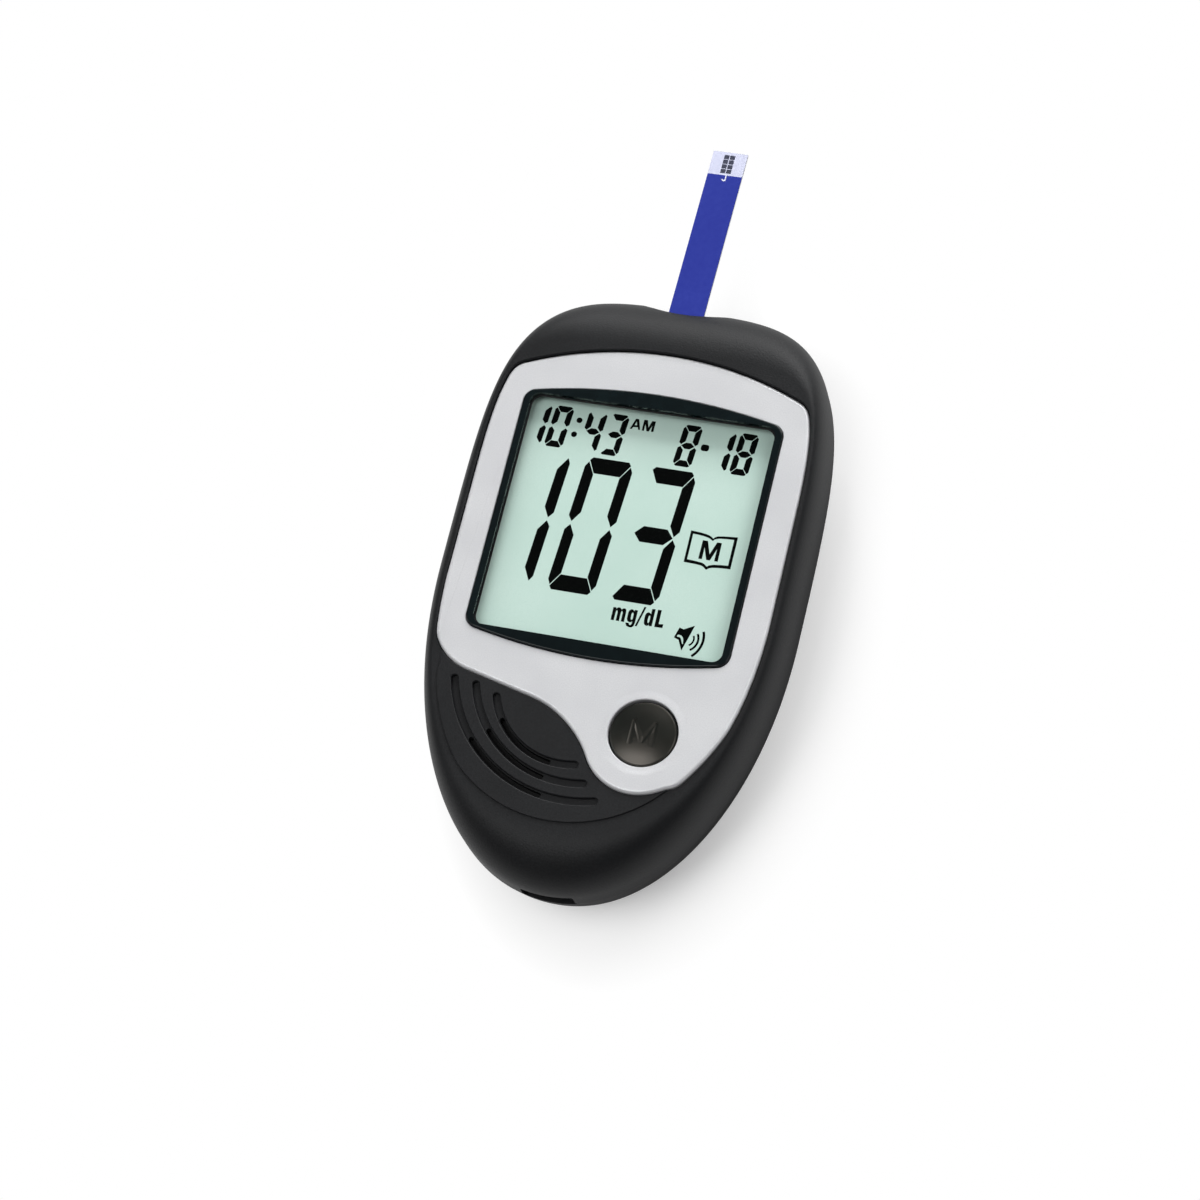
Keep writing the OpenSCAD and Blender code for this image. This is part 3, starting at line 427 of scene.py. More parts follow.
def finish(name, low, high, size, relief=0.0, rough=(0.4, 0.5), cloudy=12.0, stretch=(1, 1, 1),
           texture="TexNoise", inputs=None, settings=None, **sockets):
    """A material led by one pattern, whose size and relief are in millimetres.

    The pattern and broader clouds mix the colour from low to high; the pattern alone
    sets the roughness between its two values and the relief.
    """
    material = bpy.data.materials.new(name)
    material.use_nodes = True
    tree = material.node_tree
    shader = tree.nodes["Principled BSDF"]
    where = add(tree, "TexCoord").outputs["Object"]
    laid = add(tree, "Mapping", {"Vector": where, "Scale": stretch}).outputs[0]
    lead = add(tree, texture, {"Vector": laid, "Scale": 1 / (size * MM), **(inputs or {})},
               **(settings or {}))
    lead = next(out for out in lead.outputs if out.name in ("Fac", "Distance"))
    clouds = add(tree, "TexNoise", {"Vector": where, "Scale": 1 / (cloudy * MM), "Detail": 3.0})
    both = add(tree, "Math", {0: lead, 1: clouds.outputs["Fac"]}, operation="MULTIPLY")
    share = add(tree, "MapRange", {"Value": both.outputs[0], "From Min": 0.08, "From Max": 0.42})
    colour = add(tree, "MixRGB", {"Fac": share.outputs[0], "Color1": srgb(low),
                                  "Color2": srgb(high)})
    tree.links.new(colour.outputs[0], shader.inputs["Base Color"])
    if rough[0] != rough[1]:
        spread = add(tree, "MapRange", {"Value": lead, "To Min": rough[0], "To Max": rough[1]})
        tree.links.new(spread.outputs[0], shader.inputs["Roughness"])
    else:
        shader.inputs["Roughness"].default_value = rough[0]
    if relief:
        bump = add(tree, "Bump", {"Height": lead, "Distance": relief * MM, "Strength": 1.0})
        tree.links.new(bump.outputs[0], shader.inputs["Normal"])
    for key, value in sockets.items():
        shader.inputs[key.replace("_", " ")].default_value = value
    return material


# Moulded ABS from a spark-eroded tool: a dark satin with a fine even grain
casing_abs = finish("moulded_charcoal_abs", "#111214", "#1d1e20", 0.32, 0.03, (0.46, 0.58),
                    Specular_IOR_Level=0.24)
# Silver paint over ABS: tiny flakes, a soft even sheen under a thin clear coat
silver_paint = finish("sprayed_silver_paint", "#d6d7da", "#e4e5e7", 0.20, 0.002, (0.30, 0.38),
                      Metallic=0.15, Coat_Weight=0.3, Coat_Roughness=0.25)
# Black ink printed on the back of acrylic: deep blue-black under a polished face
printed_black = finish("printed_acrylic_border", "#0b1214", "#101a1c", 2.0, 0.0, (0.05, 0.08),
                       cloudy=20, IOR=1.49, Specular_IOR_Level=0.3)
# Clear cast acrylic: only a faint gloss over what lies under it
clear_acrylic = finish("clear_acrylic_window", "#0d1211", "#131918", 3.0, 0.0, (0.03, 0.05),
                       IOR=1.49, Alpha=0.02, Specular_IOR_Level=0.25)
# Polariser over a transflective layer: milky mint with a fine speckle
polariser = finish("transflective_polariser", "#c6e3d8", "#d3ece2", 0.22, 0.001, (0.35, 0.45),
                   cloudy=16, Specular_IOR_Level=0.3)
# Driven liquid crystal: near black with a breath of green
dark_crystal = finish("driven_liquid_crystal", "#010202", "#030504", 0.25, 0.0, (0.45, 0.55),
                      Specular_IOR_Level=0.03)
# Soda-lime display glass: clear with a green edge
display_glass = finish("ground_display_glass", "#a9c9bd", "#c1dfd4", 1.5, 0.0, (0.05, 0.12),
                       IOR=1.52, Alpha=0.35)
# Adhesive tape: flat black film
tape = finish("black_adhesive_tape", "#131314", "#1b1b1c", 0.15, 0.002, (0.6, 0.75))
# Pearly reflector film behind the display
reflector = finish("pearl_reflector_film", "#c4d4ca", "#dfe8e0", 0.4, 0.001, (0.25, 0.35),
                   Metallic=0.3)
# Moulded white ABS of the display holder
white_abs = finish("moulded_white_abs", "#dcdcd6", "#e9e9e4", 0.5, 0.004, (0.4, 0.5))
# Elastomer connector: conducting and insulating layers, drawn at 0.5 mm so that they show
layered_rubber = finish("layered_silicone_rubber", "#2b2625", "#8d7f78", 0.5, 0.004, (0.55, 0.7),
                        texture="TexWave", inputs={"Distortion": 0.4})
# FR4 laminate under solder mask: green gloss with the glass weave just showing, 0.6 mm apart
solder_mask = finish("solder_masked_laminate", "#123f27", "#1f6a40", 0.6, 0.004, (0.22, 0.35),
                     texture="TexVoronoi", Coat_Weight=0.3)
# Transfer-moulded epoxy: matt black with a gritty skin
epoxy = finish("moulded_chip_epoxy", "#161617", "#222324", 0.12, 0.004, (0.55, 0.7))
# Bright nickel over spring steel: clean metal, drawn lines along it
nickel = finish("nickel_plated_steel", "#b8bcc0", "#d3d6d8", 0.25, 0.002, (0.18, 0.30),
                stretch=(1, 0.1, 1), Metallic=1.0)
# Blackened screw steel: dark metal, dry oxide
black_oxide = finish("blackened_screw_steel", "#3b3d40", "#5d6064", 0.2, 0.003, (0.35, 0.5),
                     Metallic=1.0)
# Ceramic bodies of the small parts
ceramic = finish("fired_ceramic_chips", "#a88656", "#c9a974", 0.3, 0.003, (0.5, 0.6))
# Polished button moulding, black with green in it
polished_abs = finish("polished_black_abs", "#060c0b", "#0b1312", 1.2, 0.0, (0.28, 0.32),
                      cloudy=8, Specular_Tint=srgb("#fff0df"), Coat_Weight=0.35,
                      Coat_Roughness=0.22)
# Glass-filled nylon: black, slightly rough
nylon = finish("glass_filled_black_nylon", "#19191b", "#272729", 0.25, 0.006, (0.45, 0.6))
# Mid grey acetal of the set button
grey_acetal = finish("moulded_grey_acetal", "#606366", "#75787b", 0.4, 0.003, (0.35, 0.45))
# Cream acetal of the switch plungers
cream_acetal = finish("moulded_cream_acetal", "#bda47a", "#d3bc92", 0.3, 0.003, (0.4, 0.5))
# Pressed polyester cone: amber-brown film with a soft gloss
cone_film = finish("pressed_polyester_film", "#3c342e", "#554a40", 0.8, 0.004, (0.25, 0.4))
# Sintered magnet, ground flat
magnet = finish("ground_ferrite_magnet", "#7a7c80", "#9c9ea2", 0.2, 0.004, (0.3, 0.45),
                stretch=(1, 0.2, 1), Metallic=0.9)
# Open-cell foam: small pits
foam = finish("open_cell_foam", "#121213", "#2a2a2c", 0.5, 0.05, (0.85, 0.95),
              texture="TexVoronoi")
# Dust cloth: a fine black weave, threads drawn at 0.3 mm so that they show
dust_cloth = finish("woven_dust_cloth", "#0a0a0b", "#1b1b1c", 0.3, 0.03, (0.8, 0.95),
                    texture="TexWave", settings={"bands_direction": "DIAGONAL"})
# Gold flash over phosphor bronze
gold = finish("gold_flashed_bronze", "#c79a45", "#e2bd72", 0.25, 0.002, (0.2, 0.3), Metallic=1.0)
# Strip base: white polyester card with a smooth face
white_film = finish("white_polyester_card", "#dfe0ec", "#eceef8", 0.8, 0.001, (0.3, 0.4))
# Strip cover: royal blue ink under clear film
blue_film = finish("printed_blue_film", "#2a3592", "#313d9a", 0.9, 0.001, (0.48, 0.56),
                   Specular_IOR_Level=0.05)
# Strip tip: clear hydrophilic film over the white card
pale_film = finish("clear_strip_film", "#c9cce4", "#d3d6ec", 0.9, 0.001, (0.40, 0.50),
                   Specular_IOR_Level=0.2)
# Carbon ink of the electrodes: dry dark navy
carbon_ink = finish("screen_printed_carbon", "#151a33", "#222948", 0.2, 0.002, (0.5, 0.65))
# Plain steel-grey jacket of the cells
cell_jacket = finish("shrunk_cell_jacket", "#72767b", "#8d9095", 0.6, 0.001, (0.2, 0.3),
                     Metallic=0.6)
# Bare silver label film
label_film = finish("matt_silver_label", "#bfc0c2", "#d0d1d3", 0.3, 0.001, (0.45, 0.55),
                    Metallic=0.3)


# ---------------------------------------------------------------- casing

plate_loop, _, button_hole = rim_loops("face_plate", plate_high.z)
lens_loop = rim_loops("display_lens", lens_high.z)[0]


def panel_ring(inset, rise, rays=240):
    """Edge of the raised panel, drawn in by an inset, at a rise above the face."""
    ring = []
    for k in range(rays):
        way = Vector((cos(tau * k / rays), sin(tau * k / rays)))
        near, far = 0.0, 60.0
        for _ in range(36):
            middle = (near + far) / 2
            if in_panel(PANEL_MIDDLE + way * middle, inset):
                near = middle
            else:
                far = middle
        p = PANEL_MIDDLE + way * near
        ring.append((*p, face_height(p.y) + rise))
    return ring


panel = solid([panel_ring(0, -1.0), *(
    panel_ring(PANEL_EDGE * (1 - cos(t)), PANEL_H - PANEL_EDGE * (1 - sin(t)))
    for t in ROUNDING)])

STRIP_PLACE = Matrix.Translation((0, MOUTH_Y, STRIP_Z)) @ Matrix.Rotation(
    radians(-STRIP_SLOPE), 4, "X")


def along_y(sections, centre_z=0.0, place_at=Matrix()):
    """A cutter through rectangles across the Y direction: (y, width, height, corner)."""
    return solid([[place_at @ Vector((p.x, y, centre_z + p.y)) for p in rounded(w, h, r)]
                  for y, w, h, r in sections])


def strip_mouth():
    """A cutter for the strip's mouth, whose edge flares outwards."""
    w, h = STRIP_W + MOUTH_SPARE_W, 2 * STRIP_T + MOUTH_SPARE_H
    flare = ((-4, 0), (-0.25, 0), (-0.08, 0.06), (0.06, 0.22), (1.5, 0.22))
    return along_y([(y, w + 2 * d, h + 2 * d, 0.3 + d) for y, d in flare], place_at=STRIP_PLACE)


def port_mouth():
    """A cutter for the data port's opening in the tail."""
    w = shell_high.x - shell_low.x + PORT_SPARE_W
    return along_y([(y, w, PORT_H, 0.4) for y in (-TAIL - 1, -TAIL + 5)], PORT_LOW + PORT_H / 2)


def scoop(grown=0.0):
    """A cutter for the hollow in the strip end, for a body lying inside the casing."""
    return prism(arc(SCOOP_CENTRE, SCOOP_R + grown, 0, 360, 240)[:-1], -2.0, FACE_Z + 2)


def scoop_edge(shell, way, rays_from, steps=360):
    """A cutter for the hollow that rounds the edge it leaves on a shell's outside.

    It runs from the joint between the casings, whose edge it rounds too, out through the
    shell, whose surface it finds by casting rays against it.
    """
    loop = arc(SCOOP_CENTRE, SCOOP_R, 0, 360, steps)[:-1]
    tree = BVHTree.FromPolygons([v.co / MM for v in shell.data.vertices],
                                [p.vertices for p in shell.data.polygons])

    def skin(p):
        hit = tree.ray_cast(Vector((*p, rays_from)), Vector((0, 0, -way)))[0]
        return hit.z if hit else WIDE_Z - way * SCOOP_LIP

    rings = [[(*p, PART_Z + way * z) for p in grow(loop, d)]
             for z, d in ((-1, PARTING), (0, PARTING), (PARTING, 0))]
    heights = [skin(p) for p in loop]
    for share in (1, 0.7, 0.45, 0.25, 0.1, 0):
        spread = grow(loop, SCOOP_LIP * (1 - sqrt(1 - (1 - share) ** 2)))
        rings.append([(*p, z - way * SCOOP_LIP * share) for p, z in zip(spread, heights)])
    rings.append([(*p, z + way * 3) for p, z in zip(spread, heights)])
    return solid(rings if way > 0 else rings[::-1])


def inside_of(node, core_rings, skin_rings):
    """A casing's inside from its node, and the cutter that makes the room for it."""
    inner, room = solid(core_rings), solid(skin_rings)
    carve(inner, "DIFFERENCE", scoop(CORE))
    carve(room, "DIFFERENCE", scoop(SKIN))
    return carve(shape("inside", merged(node)), "INTERSECT", inner), room


def sunk(loop, floor, lip):
    """A cutter that sinks a loop into the back."""
    return pocket(loop, floor, lambda p: 0.0, lip, -1)


front = solid(front_rings(0, face_height), "front_shell")
carve(front, "UNION", panel)
carve(front, "DIFFERENCE", scoop_edge(front, 1, RAYS_ABOVE))
inside, hollow = inside_of("front_casing", front_rings(CORE, lambda y: INSIDE_TOP),
                           front_rings(SKIN, lambda y: HOLLOW_TOP))
plate_seat = pocket(grow(plate_loop, GAP), plate_low.z)
carve(plate_seat, "DIFFERENCE", prism(lens_loop, plate_low.z - 1, tape_low.z))
grooves = []
for centre, r, start, slot_start, slot_end, end in GROOVES:
    floor = face_height(centre.y - r) + PANEL_H - GROOVE_D
    grooves.append(pocket(channel(centre, r, GROOVE_W, start, end), floor, lip=GROOVE_LIP))
    grooves.append(prism(channel(centre, r, SLOT_W, slot_start, slot_end), 20, floor + 0.2))
window_gap = WINDOW + 2 * WINDOW_RELIEF
window = rounded(window_gap, window_gap, WINDOW_R + WINDOW_RELIEF, (0, LCD_Y))
button_bore = arc(BUTTON, BUTTON_R + GAP, 0, 360, 96)[:-1]
carve(front, "DIFFERENCE", hollow, plate_seat, prism(window, 20, 25), prism(button_bore, 20, 25),
      *grooves, strip_mouth(), port_mouth())
carve(front, "UNION", inside)
piece(front, "meter", "casing_plastic", casing_abs, "front_casing")

rear = solid(rear_rings(0, 0.0), "rear_shell")
carve(rear, "DIFFERENCE", scoop_edge(rear, -1, RAYS_BELOW))
inside, hollow = inside_of("rear_casing", rear_rings(CORE, CORE), rear_rings(SKIN, SKIN))
wells = [sunk(arc((x, y), SCREW_HEAD_R + WELL_SPARE, 0, 360, 64)[:-1], WELL_Z, 0.25)
         for x in (screw_low.x + SCREW_HEAD_R, screw_high.x - SCREW_HEAD_R)
         for y in (screw_low.y + SCREW_HEAD_R, screw_high.y - SCREW_HEAD_R)]
door_seat = sunk(rounded(door_high.x - door_low.x + DOOR_SEAT_SPARE_W, DOOR_SEAT_L, 0.2,
                         (0, DOOR_SEAT_Y)), DOOR_SEAT_Z, 0.15)
notch = sunk(arc((0, door_low.y - NOTCH_OUT), NOTCH_R, 0, 360, 64)[:-1], NOTCH_Z, 0.25)
label_seat = sunk(rounded(LABEL_SEAT_W, LABEL_SEAT_L, 0.3, ((label_low + label_high) / 2).xy),
                  LABEL_SEAT_Z, 0.1)
carve(rear, "DIFFERENCE", hollow, door_seat, notch, label_seat, *wells, port_mouth())
carve(rear, "UNION", inside)
piece(rear, "meter", "casing_plastic", casing_abs, "rear_casing")


def rounded_rims(node, z, widths, segments=4):
    """A copy of a node whose rims at a height are rounded over, longest rim first."""
    bm = flattened(node)
    loops = sorted(loops_of(rim_edges(bm, z)), key=len, reverse=True)
    loops.sort(key=lambda loop: -sum((a.co - b.co).length for a, b in zip(loop, loop[1:])))
    rims = [[bm.edges.get(pair) for pair in zip(loop, loop[1:] + loop[:1])] for loop in loops]
    for rim, width in zip(rims, widths):
        bmesh.ops.bevel(bm, geom=rim, offset=width * MM, segments=segments, profile=0.5,
                        affect="EDGES", material=-1)
    return bm


piece(shape("door_panel", rounded_rims("battery_door", door_low.z, [0.3])),
      "battery_door", "casing_plastic", casing_abs, "battery_door")

# ---------------------------------------------------------------- face

plate = shape("silver_plate", rounded_rims("face_plate", plate_high.z, [0.6, 0.15, 0.1]))
# Low collar around the button, rising towards it
COLLAR_W, COLLAR_H, COLLAR_EDGE, COLLAR_ROOT = 1.5, 0.12, 0.12, 0.3
hole_r = max((p - BUTTON).length for p in button_hole)
root_z = plate_high.z - COLLAR_ROOT
slope = [(hole_r + COLLAR_EDGE + COLLAR_W * k / 10,
          plate_high.z + COLLAR_H * (0.5 + 0.5 * cos(pi * k / 10))) for k in range(10)]
collar = turned("collar", [
    (hole_r, root_z), (hole_r, plate_high.z + COLLAR_H - COLLAR_EDGE), *slope,
    (hole_r + COLLAR_EDGE + COLLAR_W, plate_high.z - 0.005), (hole_r + COLLAR_W, root_z),
    (hole_r, root_z)], BUTTON)
carve(plate, "UNION", collar)
piece(plate, "meter", "silver_plastic", silver_paint, "face_plate")

LENS_EDGE, PRINT_OPENING, WINDOW_GAP = 0.25, 41.4, 0.03
border = solid([[(*p, z) for p in grow(lens_loop, -LENS_EDGE * (1 - cos(t)))] for t, z in (
    (0, lens_low.z), *((t, lens_high.z - LENS_EDGE * (1 - sin(t)))
                       for t in ROUNDING))], "lens_border")
print_opening = rounded(PRINT_OPENING, PRINT_OPENING, WINDOW_R, (0, LCD_Y))
carve(border, "DIFFERENCE", prism(print_opening, lens_low.z - 1, lens_high.z + 1))
piece(border, "meter", "lens_plastic", printed_black, "display_lens")
piece(prism(grow(print_opening, -WINDOW_GAP), lens_low.z, lens_high.z, "lens_window"), "meter",
      "lens_plastic", clear_acrylic)

# Display: a polariser on the glass, and the driven segments on the polariser
FILM_T, MARK_T = 0.02, 0.015
film_z = glass_high.z
film = prism(rounded(glass_high.x - glass_low.x - 0.8, glass_high.y - glass_low.y - 1.2, 0.3,
                     (0, LCD_Y)), film_z, film_z + FILM_T, "display_polariser")
piece(film, "meter", "display_glass", polariser)


def marks(name, loops, holes=()):
    """Driven segments: flat loops around the display's centre, less their holes."""
    bm = bmesh.new()
    low = film_z + FILM_T
    for loop in loops:
        stack(bm, [[(x, y + LCD_Y, z) for x, y in loop] for z in (low, low + MARK_T)])
    made = shape(name, bm)
    if holes:
        carve(made, "DIFFERENCE", *(prism([(x, y + LCD_Y) for x, y in hole], low - 0.1, low + 0.1)
                                    for hole in holes))
    return piece(made, "meter", "display_glass", dark_crystal)


def bent_bar(centre, r, w, start, end, steps=16):
    """A curved bar with square ends."""
    return [*arc(centre, r + w / 2, start, end, steps), *arc(centre, r - w / 2, end, start, steps)]


def segments(lit, centre, half_w, half_h, upright, level, gap, slant):
    """Loops of a seven-segment figure; upright and level are the widths of its strokes."""
    w, h, v, t = half_w, half_h, upright, level
    top = [(0.3 * v - w, h - 0.2 * t), (0.55 * v - w, h), (w - 0.55 * v, h),
           (w - 0.3 * v, h - 0.2 * t), (w - v, h - t), (v - w, h - t)]
    side = [(w - 0.28 * v, h - 0.2 * t - gap), (w, h - 0.62 * t), (w, 0.45 * t),
            (w - 0.4 * v, gap), (w - v, 0.74 * t), (w - v, h - t - gap)]
    middle = [(0.45 * v - w, 0), (v - w + gap, t / 2), (w - v - gap, t / 2), (w - 0.45 * v, 0),
              (w - v - gap, -t / 2), (v - w + gap, -t / 2)]
    shapes = {"A": (top, 1, 1), "B": (side, 1, 1), "C": (side, 1, -1), "D": (top, 1, -1),
              "E": (side, -1, -1), "F": (side, -1, 1), "G": (middle, 1, 1)}
    return [[(centre[0] + sx * x + slant * sy * y, centre[1] + sy * y) for x, y in loop]
            for loop, sx, sy in (shapes[key] for key in lit)]


ONE, THREE, FOUR, EIGHT, ZERO = "BC", "ABCDG", "BCFG", "ABCDEFG", "ABCDEF"
big = 4.02, 11.9, 1.8, 2.78, 0.26, 0.06
marks("reading_figures", [loop for lit, x in ((ONE, -16.84), (ZERO, -6.24), (THREE, 4.39))
                          for loop in segments(lit, (x, 0.0), *big)])
small = 1.575, 3.72, 1.0, 1.1, 0.16, 0.07
SMALL_Y = 16.37
marks("clock_figures", [
    *(loop for lit, x in ((ONE, -19.27), (ZERO, -15.57), (FOUR, -9.82), (THREE, -6.1))
      for loop in segments(lit, (x, SMALL_Y), *small)),
    *(arc(p, 0.5, 0, 360, 20)[:-1] for p in ((-12.5, 18.0), (-12.8, 15.4)))])
marks("date_figures", [
    *(loop for lit, x in ((EIGHT, 6.32), (ONE, 12.1), (EIGHT, 15.82))
      for loop in segments(lit, (x, SMALL_Y), *small)),
    rounded(1.35, 1.15, 0.42, (9.2, 16.5))])
marks("speaker_sign", [
    [(12.22, -14.8), (12.95, -15.0), (14.62, -14.08), (14.0, -16.4), (13.38, -18.6),
     (12.55, -16.9), (11.7, -16.6)],
    bent_bar((13.69, -16.45), 1.26, 0.29, -58, 30), bent_bar((13.54, -16.49), 2.13, 0.36, -57, 31),
    bent_bar((12.43, -16.3), 4.05, 0.42, -47, 21)],
    # The hole is a painted highlight: a thin curved band across the sign's cone where the dark mark
    # is left out, so that the mint polariser shows through.
    [[(12.13, -16.15), (12.35, -16.0), (12.8, -16.08), (13.12, -16.35), (13.3, -16.8),
      (13.4, -17.5), (13.22, -17.42), (13.0, -16.9), (12.82, -16.55), (12.55, -16.38),
      (12.2, -16.4)]])
marks("memory_book", [
    [(10.28, -3.64), (12.28, -3.68), (13.28, -3.8), (13.75, -4.04), (14.17, -4.38),
     (14.6, -4.04), (15.06, -3.88), (16.17, -3.73), (18.05, -3.64), (18.06, 1.97), (16.72, 1.86),
     (15.72, 1.76), (14.83, 1.62), (14.4, 1.4), (14.14, 1.1), (13.8, 1.37), (13.39, 1.55),
     (12.83, 1.7), (11.72, 1.84), (10.26, 1.93)]],
    [[(10.74, -3.08), (12.28, -3.18), (13.39, -3.32), (13.83, -3.56), (14.17, -3.84),
      (14.5, -3.56), (15.06, -3.36), (16.17, -3.2), (17.54, -3.1), (17.54, 1.44), (16.17, 1.38),
      (15.06, 1.26), (14.44, 1.02), (14.14, 0.68), (13.87, 0.85), (13.5, 1.06), (12.83, 1.24),
      (11.72, 1.38), (10.72, 1.42)]])
marks("memory_letter", [
    [(12.5, -2.69), (13.1, -2.69), (13.08, -0.6), (13.82, -2.69), (14.42, -2.69), (15.15, -0.6),
     (15.14, -2.69), (15.74, -2.69), (15.7, 0.57), (14.93, 0.57), (14.14, -1.67), (13.38, 0.57),
     (12.53, 0.57)]])
marks("morning_letters", [
    [(-3.87, 17.87), (-3.53, 17.87), (-3.38, 18.25), (-2.6, 18.33), (-2.47, 17.9),
     (-2.12, 17.93), (-2.73, 19.8), (-3.23, 19.78)],
    [(-1.85, 17.88), (-1.47, 17.87), (-1.5, 19.1), (-1.05, 17.87), (-0.65, 17.88), (-0.3, 18.95),
     (-0.28, 17.88), (0.12, 17.9), (0.13, 19.8), (-0.48, 19.8), (-0.86, 18.55), (-1.22, 19.82),
     (-1.83, 19.8)]],
    [[(-3.01, 19.32), (-3.22, 18.62), (-2.8, 18.66)]])
marks("unit_letters", [
    [(0.88, -15.4), (1.4, -15.4), (1.42, -13.9), (1.5, -13.62), (1.62, -13.66), (1.72, -13.9),
     (1.74, -15.4), (2.28, -15.4), (2.26, -13.9), (2.34, -13.62), (2.46, -13.66), (2.56, -13.9),
     (2.58, -15.4), (3.12, -15.4), (3.1, -13.7), (3.02, -13.3), (2.8, -13.1), (2.5, -13.15),
     (2.24, -13.4), (2.06, -13.15), (1.8, -13.08), (1.56, -13.15), (1.36, -13.4), (1.33, -13.15),
     (0.85, -13.2)],
    [(4.42, -13.08), (4.92, -13.1), (4.92, -15.3), (4.8, -15.85), (4.5, -16.12), (4.1, -16.15),
     (3.65, -15.98), (3.42, -15.6), (3.4, -15.45), (3.95, -15.45), (4.0, -15.65), (4.15, -15.78),
     (4.33, -15.72), (4.42, -15.5), (4.42, -15.05), (4.3, -15.22), (4.0, -15.3), (3.65, -15.15),
     (3.47, -14.8), (3.44, -13.75), (3.55, -13.3), (3.85, -13.06), (4.15, -13.1), (4.38, -13.35)],
    [(5.0, -15.78), (5.32, -15.78), (6.15, -12.33), (5.82, -12.33)],
    [(7.15, -12.45), (7.7, -12.42), (7.72, -15.38), (7.25, -15.4), (7.22, -15.2), (7.0, -15.42),
     (6.65, -15.4), (6.38, -15.15), (6.27, -14.6), (6.26, -13.7), (6.4, -13.3), (6.7, -13.12),
     (7.0, -13.2), (7.15, -13.4)],
    [(8.1, -12.42), (8.72, -12.4), (8.76, -14.8), (9.5, -14.72), (9.5, -15.35), (8.15, -15.4)]],
    [[(4.02, -13.85), (4.12, -13.6), (4.28, -13.62), (4.38, -13.85), (4.4, -14.6), (4.3, -14.85),
      (4.12, -14.8), (4.04, -14.55)],
     [(6.85, -13.8), (6.98, -13.62), (7.12, -13.7), (7.16, -13.9), (7.18, -14.7), (7.08, -14.92),
      (6.94, -14.9), (6.84, -14.6)]])

# Button: a turned cap with its flange and stem, and an engraved M
dome_top = DOME_EDGE_Z + BUTTON_DOME_R - sqrt(BUTTON_DOME_R ** 2 - BUTTON_R ** 2)
CAP_EDGE, ENGRAVED, STROKE = 0.45, 0.16, 0.34


def dome(r):
    """Height of the cap's dome at a radius."""
    return dome_top - BUTTON_DOME_R + sqrt(BUTTON_DOME_R ** 2 - r ** 2)


rim = [(BUTTON_R - CAP_EDGE * (1 - cos(t)), dome(BUTTON_R - CAP_EDGE) - CAP_EDGE * (1 - sin(t)))
       for t in (0, 0.3, 0.6, 0.9, 1.2, 1.45)]
crown = [(r, dome(r)) for r in (4.9, 4.2, 3.4, 2.6, 1.8, 0.9, 0.0)]
stem_z = button_low.z + 0.02  # just clear of the switch at the end of its travel
button = turned("memory_cap", [
    (0, stem_z), (STEM_R, stem_z), (STEM_R, FLANGE_LOW), (FLANGE_R, FLANGE_LOW),
    (FLANGE_R, FLANGE_HIGH), (BUTTON_R, FLANGE_HIGH), *rim, *crown], BUTTON)


def engraved(start, end, steps=12):
    """A cutter for one engraved stroke between two points of the cap, following its dome."""
    along = (end - start).normalized()
    across = Vector((along.y, -along.x))
    points = [start.lerp(end, k / steps) for k in range(steps + 1)]
    return solid([[(*(BUTTON + p + across * d), dome(p.length) + h) for d, h in (
        (-2 * STROKE, ENGRAVED), (-0.3 * STROKE, -ENGRAVED), (0.3 * STROKE, -ENGRAVED),
        (2 * STROKE, ENGRAVED))] for p in points])


corners = [Vector(p) for p in ((-1.85, -2.1), (-1.8, 2.05), (0.1, -1.6), (1.8, 2.05), (1.85, -2.1))]
for start, end in zip(corners, corners[1:]):
    carve(button, "DIFFERENCE", engraved(start, end))
piece(button, "memory_button", "button_plastic", polished_abs, "memory_button")

# ---------------------------------------------------------------- strip


def on_strip(name, loops, slot, material, rise=0.02):
    """Ink on the strip's upper face, from loops of (across, along) points."""
    bm = bmesh.new()
    top = STRIP_T / 2
    for loop in loops:
        stack(bm, [[STRIP_PLACE @ Vector((*p, z)) for p in loop] for z in (top, top + rise)])
    return piece(shape(name, bm), "test_strip", slot, material)


BAR_Y, BAR_STEP = STRIP_OUT - STRIP_TIP + 0.8, 0.94
on_strip("strip_electrodes", [
    rounded(0.86, 0.82, 0.05, (x, BAR_Y + BAR_STEP * row), 2)
    for row in range(4) for x in (-0.5, 0.5)], "strip_pale", carbon_ink)
on_strip("strip_hook", [
    [(x, y + STRIP_OUT - STRIP_TIP) for x, y in ((0.35, -1.1), (0.35, 0.1), (0.15, 0.1),
     (0.15, -0.9), (-0.1, -0.95), (-0.25, -0.75), (-0.4, -0.8), (-0.25, -1.1), (0.1, -1.2))]],
    "strip_white", white_film)

# ---------------------------------------------------------------- finishes of the other parts

FINISHES = {
    tape: ["lens_tape"],
    display_glass: ["lcd_front_glass", "lcd_rear_glass"],
    reflector: ["lcd_reflector"],
    white_abs: ["lcd_holder"],
    layered_rubber: ["zebra_strips"],
    solder_mask: ["circuit_board"],
    epoxy: ["processor_chip", "voice_chip"],
    nickel: ["crystal", "battery_springs", "contact_bridge", "contact_plates",
             "data_socket_shell", "board_screws"],
    ceramic: ["small_components"],
    nylon: ["memory_switch", "set_switch", "speaker_basket", "strip_port",
            "data_socket_tongue"],
    cream_acetal: ["memory_plunger", "set_plunger"],
    grey_acetal: ["set_button"],
    cone_film: ["speaker_cone"],
    magnet: ["speaker_magnet"],
    foam: ["speaker_gasket"],
    dust_cloth: ["speaker_cloth"],
    gold: ["speaker_contacts", "strip_contacts"],
    white_film: ["strip_base"],
    blue_film: ["strip_film"],
    pale_film: ["strip_tip_film"],
    cell_jacket: ["battery_left", "battery_right"],
    black_oxide: ["casing_screws"],
    label_film: ["rating_label"],
}
for material, nodes in FINISHES.items():
    for node in nodes:
        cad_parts[node].data.materials.clear()
        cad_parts[node].data.materials.append(material)

# ---------------------------------------------------------------- floor, light and camera

